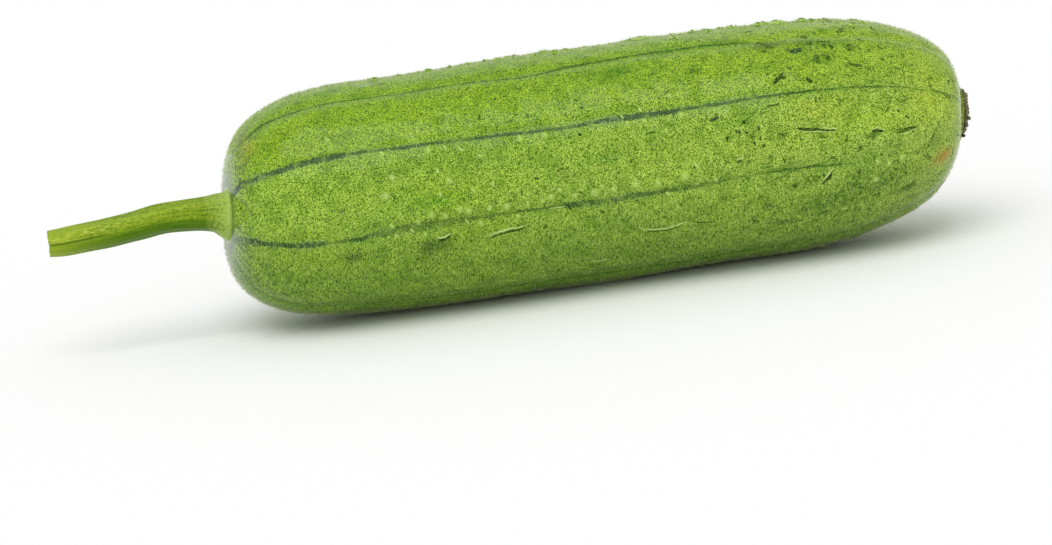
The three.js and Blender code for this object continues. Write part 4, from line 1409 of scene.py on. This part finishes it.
    # the rest cover what lies under them. Pimples are paler than the skin round them, partly their
    # own colour and partly painted highlight
    layers = [
        (add(SPREAD, [pimple, 0.12, 0.7, 0, 0.75])[0], linear("#bad870")),
        (margin_share, linear("#557f2a")),
        (dark_share, linear("#3f6a26")),
        (grey_share, linear("#98ab84")),
        (vein_share, vein_tone),
        (bloom_share, linear("#88a274")),
        (ring_share, linear("#2a5016")),
        (add(SPREAD, [neck, 0.87, 0.95, 0, 0.85])[0], linear("#a3bd52")),
        (nub_share, linear("#5a5a1c")),
    ]
    for share, tone in layers:
        toned = add(BLEND, {0: share, 6: toned, 7: tone}, data_type="RGBA")[2]

    wax = {
        "Base Color": toned,
        "Roughness": add(SPREAD, [mottle, 0.3, 0.7, 0.64, 0.48])[0],
        "Normal": add(BUMP, {"Height": light_sum, "Strength": 0.6, "Distance": 0.00013})[0],
        "IOR": 1.42,
        "Specular IOR Level": 0.05,
        "Coat Weight": 1.0,
        "Coat Roughness": 0.15,
        "Coat IOR": 1.25,
        "Coat Tint": linear("#fbfff2"),
        "Sheen Weight": 0.45,
        "Sheen Roughness": 0.16,
        "Sheen Tint": linear("#e8efd4"),
    }
    add(OUTPUT, {"Surface": add(SURFACE, wax)[0]})
    return material


def scab_and_painted_light_material():
    """Dry scar tissue on a living rind: healed cuticle, matt and finely rough. Each mark carries its
    own tone, which the grain of the tissue makes uneven. On pimple caps and on the pale lips of
    cracks the tone is partly painted highlight, and on the dark lines beside those lips partly
    painted shade."""
    material, add = new_material("healed_scab_and_painted_light")
    place = add(PLACES)["Object"]
    tone = add(STORED, attribute_name="tone")["Color"]
    grain = add(NOISE, {"Vector": place, "Scale": per(0.7), "Detail": 2})[0]
    patchy = add(SPREAD, [grain, 0.42, 0.64, 0, 0.45])[0]
    tissue = {
        "Base Color": add(BLEND, {0: patchy, 6: tone, 7: linear("#7c9e30")}, data_type="RGBA")[2],
        "Roughness": 0.66,
        "Normal": add(BUMP, {"Height": grain, "Strength": 0.4, "Distance": 0.0001})[0],
        "Specular IOR Level": 0.1,
    }
    add(OUTPUT, {"Surface": add(SURFACE, tissue)[0]})
    return material


def hair_material():
    """Plant hair: a thin clear tube of cell wall, pale against the rind, so it shows as light
    strokes and a downy edge. Its tone changes over some millimetres and pales at the neck."""
    material, add = new_material("plant_hair")
    place = add(PLACES)["Object"]
    patch = add(NOISE, {"Vector": place, "Scale": per(4), "Detail": 2})[0]
    out = add("ShaderNodeSeparateXYZ", [place])[0]
    pale_share = add(SPREAD, [patch, 0.35, 0.65, 0, 1])[0]
    neck_share = add(SPREAD, [out, -0.076, -0.086, 0, 0.35])[0]
    tone = linear("#98b446")
    for share, layer in [(pale_share, "#d0e092"), (neck_share, "#c4d098")]:
        tone = add(BLEND, {0: share, 6: tone, 7: linear(layer)}, data_type="RGBA")[2]
    wall = {"Base Color": tone, "Roughness": 0.5, "Specular IOR Level": 0.15}
    add(OUTPUT, {"Surface": add(SURFACE, wall)[0]})
    return material


def stem_material():
    """Green stalk of a gourd: a smooth waxy skin over long fibres, cut with a knife. It shows fine
    lengthwise lines, a band of pale scratches that are partly painted highlight, a yellower free
    end, a pale collar at the root, and a wet-looking pale cut face with a ring of bundles. Its
    underside and its groove are darkened with painted shade."""
    material, add = new_material("green_stalk")
    place = add(PLACES)["Object"]
    look = add(STORED, attribute_name="look")
    along, cut, spoke = add(SPLIT, [look["Color"]])
    fibre = add(STORED, attribute_name="fibre")
    # lines of about half a millimetre across that run ten times as long
    line_place = add(STRETCH, {"Vector": fibre["Vector"], "Scale": (11, 11, 6)})[0]
    lines = add(NOISE, {"Vector": line_place, "Scale": 1, "Detail": 3})[0]
    grain = add(NOISE, {"Vector": place, "Scale": per(0.8), "Detail": 2})[0]
    both = add(MATH, [grain, 0.7, lines], operation="MULTIPLY_ADD")[0]
    below = add("ShaderNodeSeparateXYZ", [fibre["Vector"]])[1]
    under_shade = add(SPREAD, [below, 0, -0.3, 0, 0.8])[0]
    not_tip = add(SPREAD, [along, 0.8, 1, 1, 0.35])[0]
    scratch_place = add(STRETCH, {"Vector": fibre["Vector"], "Scale": (20, 20, 26)})[0]
    scratches = add(NOISE, {"Vector": scratch_place, "Scale": 1, "Detail": 2})[0]
    scratch_and_highlight = add(SPREAD, [scratches, 0.5, 0.6, 0, 0.85])[0]
    collar = add(SPREAD, [along, 0.13, 0.03, 0, 1])[0]
    flakes = add(SPREAD, [grain, 0.36, 0.6, 0.35, 1])[0]
    bundles = add(SPREAD, [spoke, 0.3, 0.75, 0, 1])[0]
    cut_tones = {0: bundles, 6: linear("#dfe2a8"), 7: linear("#b9c765")}
    # each tone's share and the tone
    layers = [
        (add(SPREAD, [both, 0.68, 1.02, 0, 1])[0], linear("#92ac28")),
        # painted shade: the underside is darkened, less towards the free end
        (add(MATH, [under_shade, not_tip], operation="MULTIPLY")[0], linear("#456c08")),
        (add(SPREAD, [along, 0.6, 1, 0, 0.45])[0], linear("#a9bb30")),
        # pale scratches, partly painted highlight
        (add(MATH, [scratch_and_highlight, fibre["Alpha"]], operation="MULTIPLY")[0], linear("#cbd95c")),
        (add(MATH, [collar, flakes], operation="MULTIPLY")[0], linear("#a3bd52")),
        (add(SPREAD, [along, 0.03, 0.008, 0, 0.5])[0], linear("#adc468")),
        # painted shade in the groove
        (add(MATH, [look["Alpha"], 0.85], operation="MULTIPLY")[0], linear("#3c5c0a")),
        (cut, add(BLEND, cut_tones, data_type="RGBA")[2]),
    ]
    tone = linear("#587a06")
    for share, layer in layers:
        tone = add(BLEND, {0: share, 6: tone, 7: layer}, data_type="RGBA")[2]
    skin = {
        "Base Color": tone,
        "Roughness": 0.48,
        "Normal": add(BUMP, {"Height": both, "Strength": 0.5, "Distance": 0.00018})[0],
        "IOR": 1.42,
        "Specular IOR Level": 0.08,
        "Coat Weight": 0.4,
        "Coat Roughness": 0.28,
        "Coat IOR": 1.2,
        "Sheen Weight": 0.3,
        "Sheen Roughness": 0.16,
        "Sheen Tint": linear("#d8dcd0"),
    }
    add(OUTPUT, {"Surface": add(SURFACE, skin)[0]})
    return material


def cork_material():
    """Cork of a healed flower scar: dead dry cells, matt, crumbly and uneven in tone from
    grey-brown to nearly black in its pits."""
    material, add = new_material("dry_cork")
    place = add(PLACES)["Object"]
    coarse = add(NOISE, {"Vector": place, "Scale": per(1.4), "Detail": 4, "Roughness": 0.65})[0]
    fine = add(NOISE, {"Vector": place, "Scale": per(0.5), "Detail": 2})[0]
    both = add(MATH, [fine, 0.6, coarse], operation="MULTIPLY_ADD")[0]
    paleness = add(SPREAD, [both, 0.62, 0.98, 0, 1])[0]
    rusty = add(NOISE, {"Vector": place, "Scale": per(2.8), "Detail": 1})[0]
    rust = add(SPREAD, [rusty, 0.52, 0.66, 0, 0.6])[0]
    tone = linear("#262112")
    for share, layer in [(paleness, "#9a9274"), (rust, "#6f5a26")]:
        tone = add(BLEND, {0: share, 6: tone, 7: linear(layer)}, data_type="RGBA")[2]
    bump = add(BUMP, {"Height": both, "Strength": 0.8, "Distance": 0.0003})[0]
    dead = {"Base Color": tone, "Roughness": 0.9, "Normal": bump, "IOR": 1.4}
    add(OUTPUT, {"Surface": add(SURFACE, dead)[0]})
    return material


def floor_material():
    """Matt white studio paper: pulp pressed flat, its whiteness a little uneven."""
    material, add = new_material("white_paper")
    place = add(PLACES)["Object"]
    pulp = add(NOISE, {"Vector": place, "Scale": per(2.0), "Detail": 2})[0]
    whites = {0: pulp, 6: linear("#f4f4f4"), 7: linear("#fafafa")}
    tone = add(BLEND, whites, data_type="RGBA")[2]
    add(OUTPUT, {"Surface": add(SURFACE, {"Base Color": tone, "Roughness": 0.85})[0]})
    return material


# The studio

FLOOR_REACH = 6000
FLOOR_GAP = 0.02
SKY_STRENGTH = 0.72
SUN_STRENGTH = 1.3
SUN_SPREAD = np.radians(50)
SUN_TURN = np.radians([24, -12, 0])


def make_studio():
    """A wide white floor, an even white sky and one broad soft light from above the front."""
    corners = FLOOR_REACH * np.array([[-1, -1, 0], [1, -1, 0], [1, 1, 0], [-1, 1, 0]])
    corners = corners - [0, 0, FLOOR_GAP]
    floor = new_piece("floor", corners, [np.array([[0, 1, 2, 3]])], floor_material())
    world = bpy.data.worlds.new("studio_sky")
    world.use_nodes = True
    sky = world.node_tree.nodes["Background"]
    sky.inputs["Color"].default_value = (1, 1, 1, 1)
    sky.inputs["Strength"].default_value = SKY_STRENGTH
    bpy.context.scene.world = world
    data = bpy.data.lights.new("soft_key", "SUN")
    data.energy = SUN_STRENGTH
    data.angle = SUN_SPREAD
    key = bpy.data.objects.new("soft_key", data)
    key.rotation_euler = SUN_TURN
    bpy.context.scene.collection.objects.link(key)
    bpy.context.scene.view_settings.view_transform = "Standard"


def dress(piece, slot, *nodes):
    """Lets a piece ride with the gourd and stand for solids, which it hides. The slot is not used.
    """
    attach(piece, "root")
    if nodes:
        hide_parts(*nodes)


make_camera()
make_studio()

scab_and_painted_light = scab_and_painted_light_material()
hair = hair_material()
cork = cork_material()

dress(make_rind(rind_material()), "rind", "fruit")
dress(make_stem(stem_material()), "peduncle", "stem")
dress(make_scar(cork), "cork", "blossom_scar")
dress(make_crumbs(cork), "cork")
dress(make_marks(scab_and_painted_light), "rind")
dress(make_flecks(scab_and_painted_light), "rind")
dress(make_pimple_caps(scab_and_painted_light), "rind")
dress(make_bristles(hair), "rind")
dress(make_fuzz(hair), "rind")
dress(make_neck_down(hair), "rind")
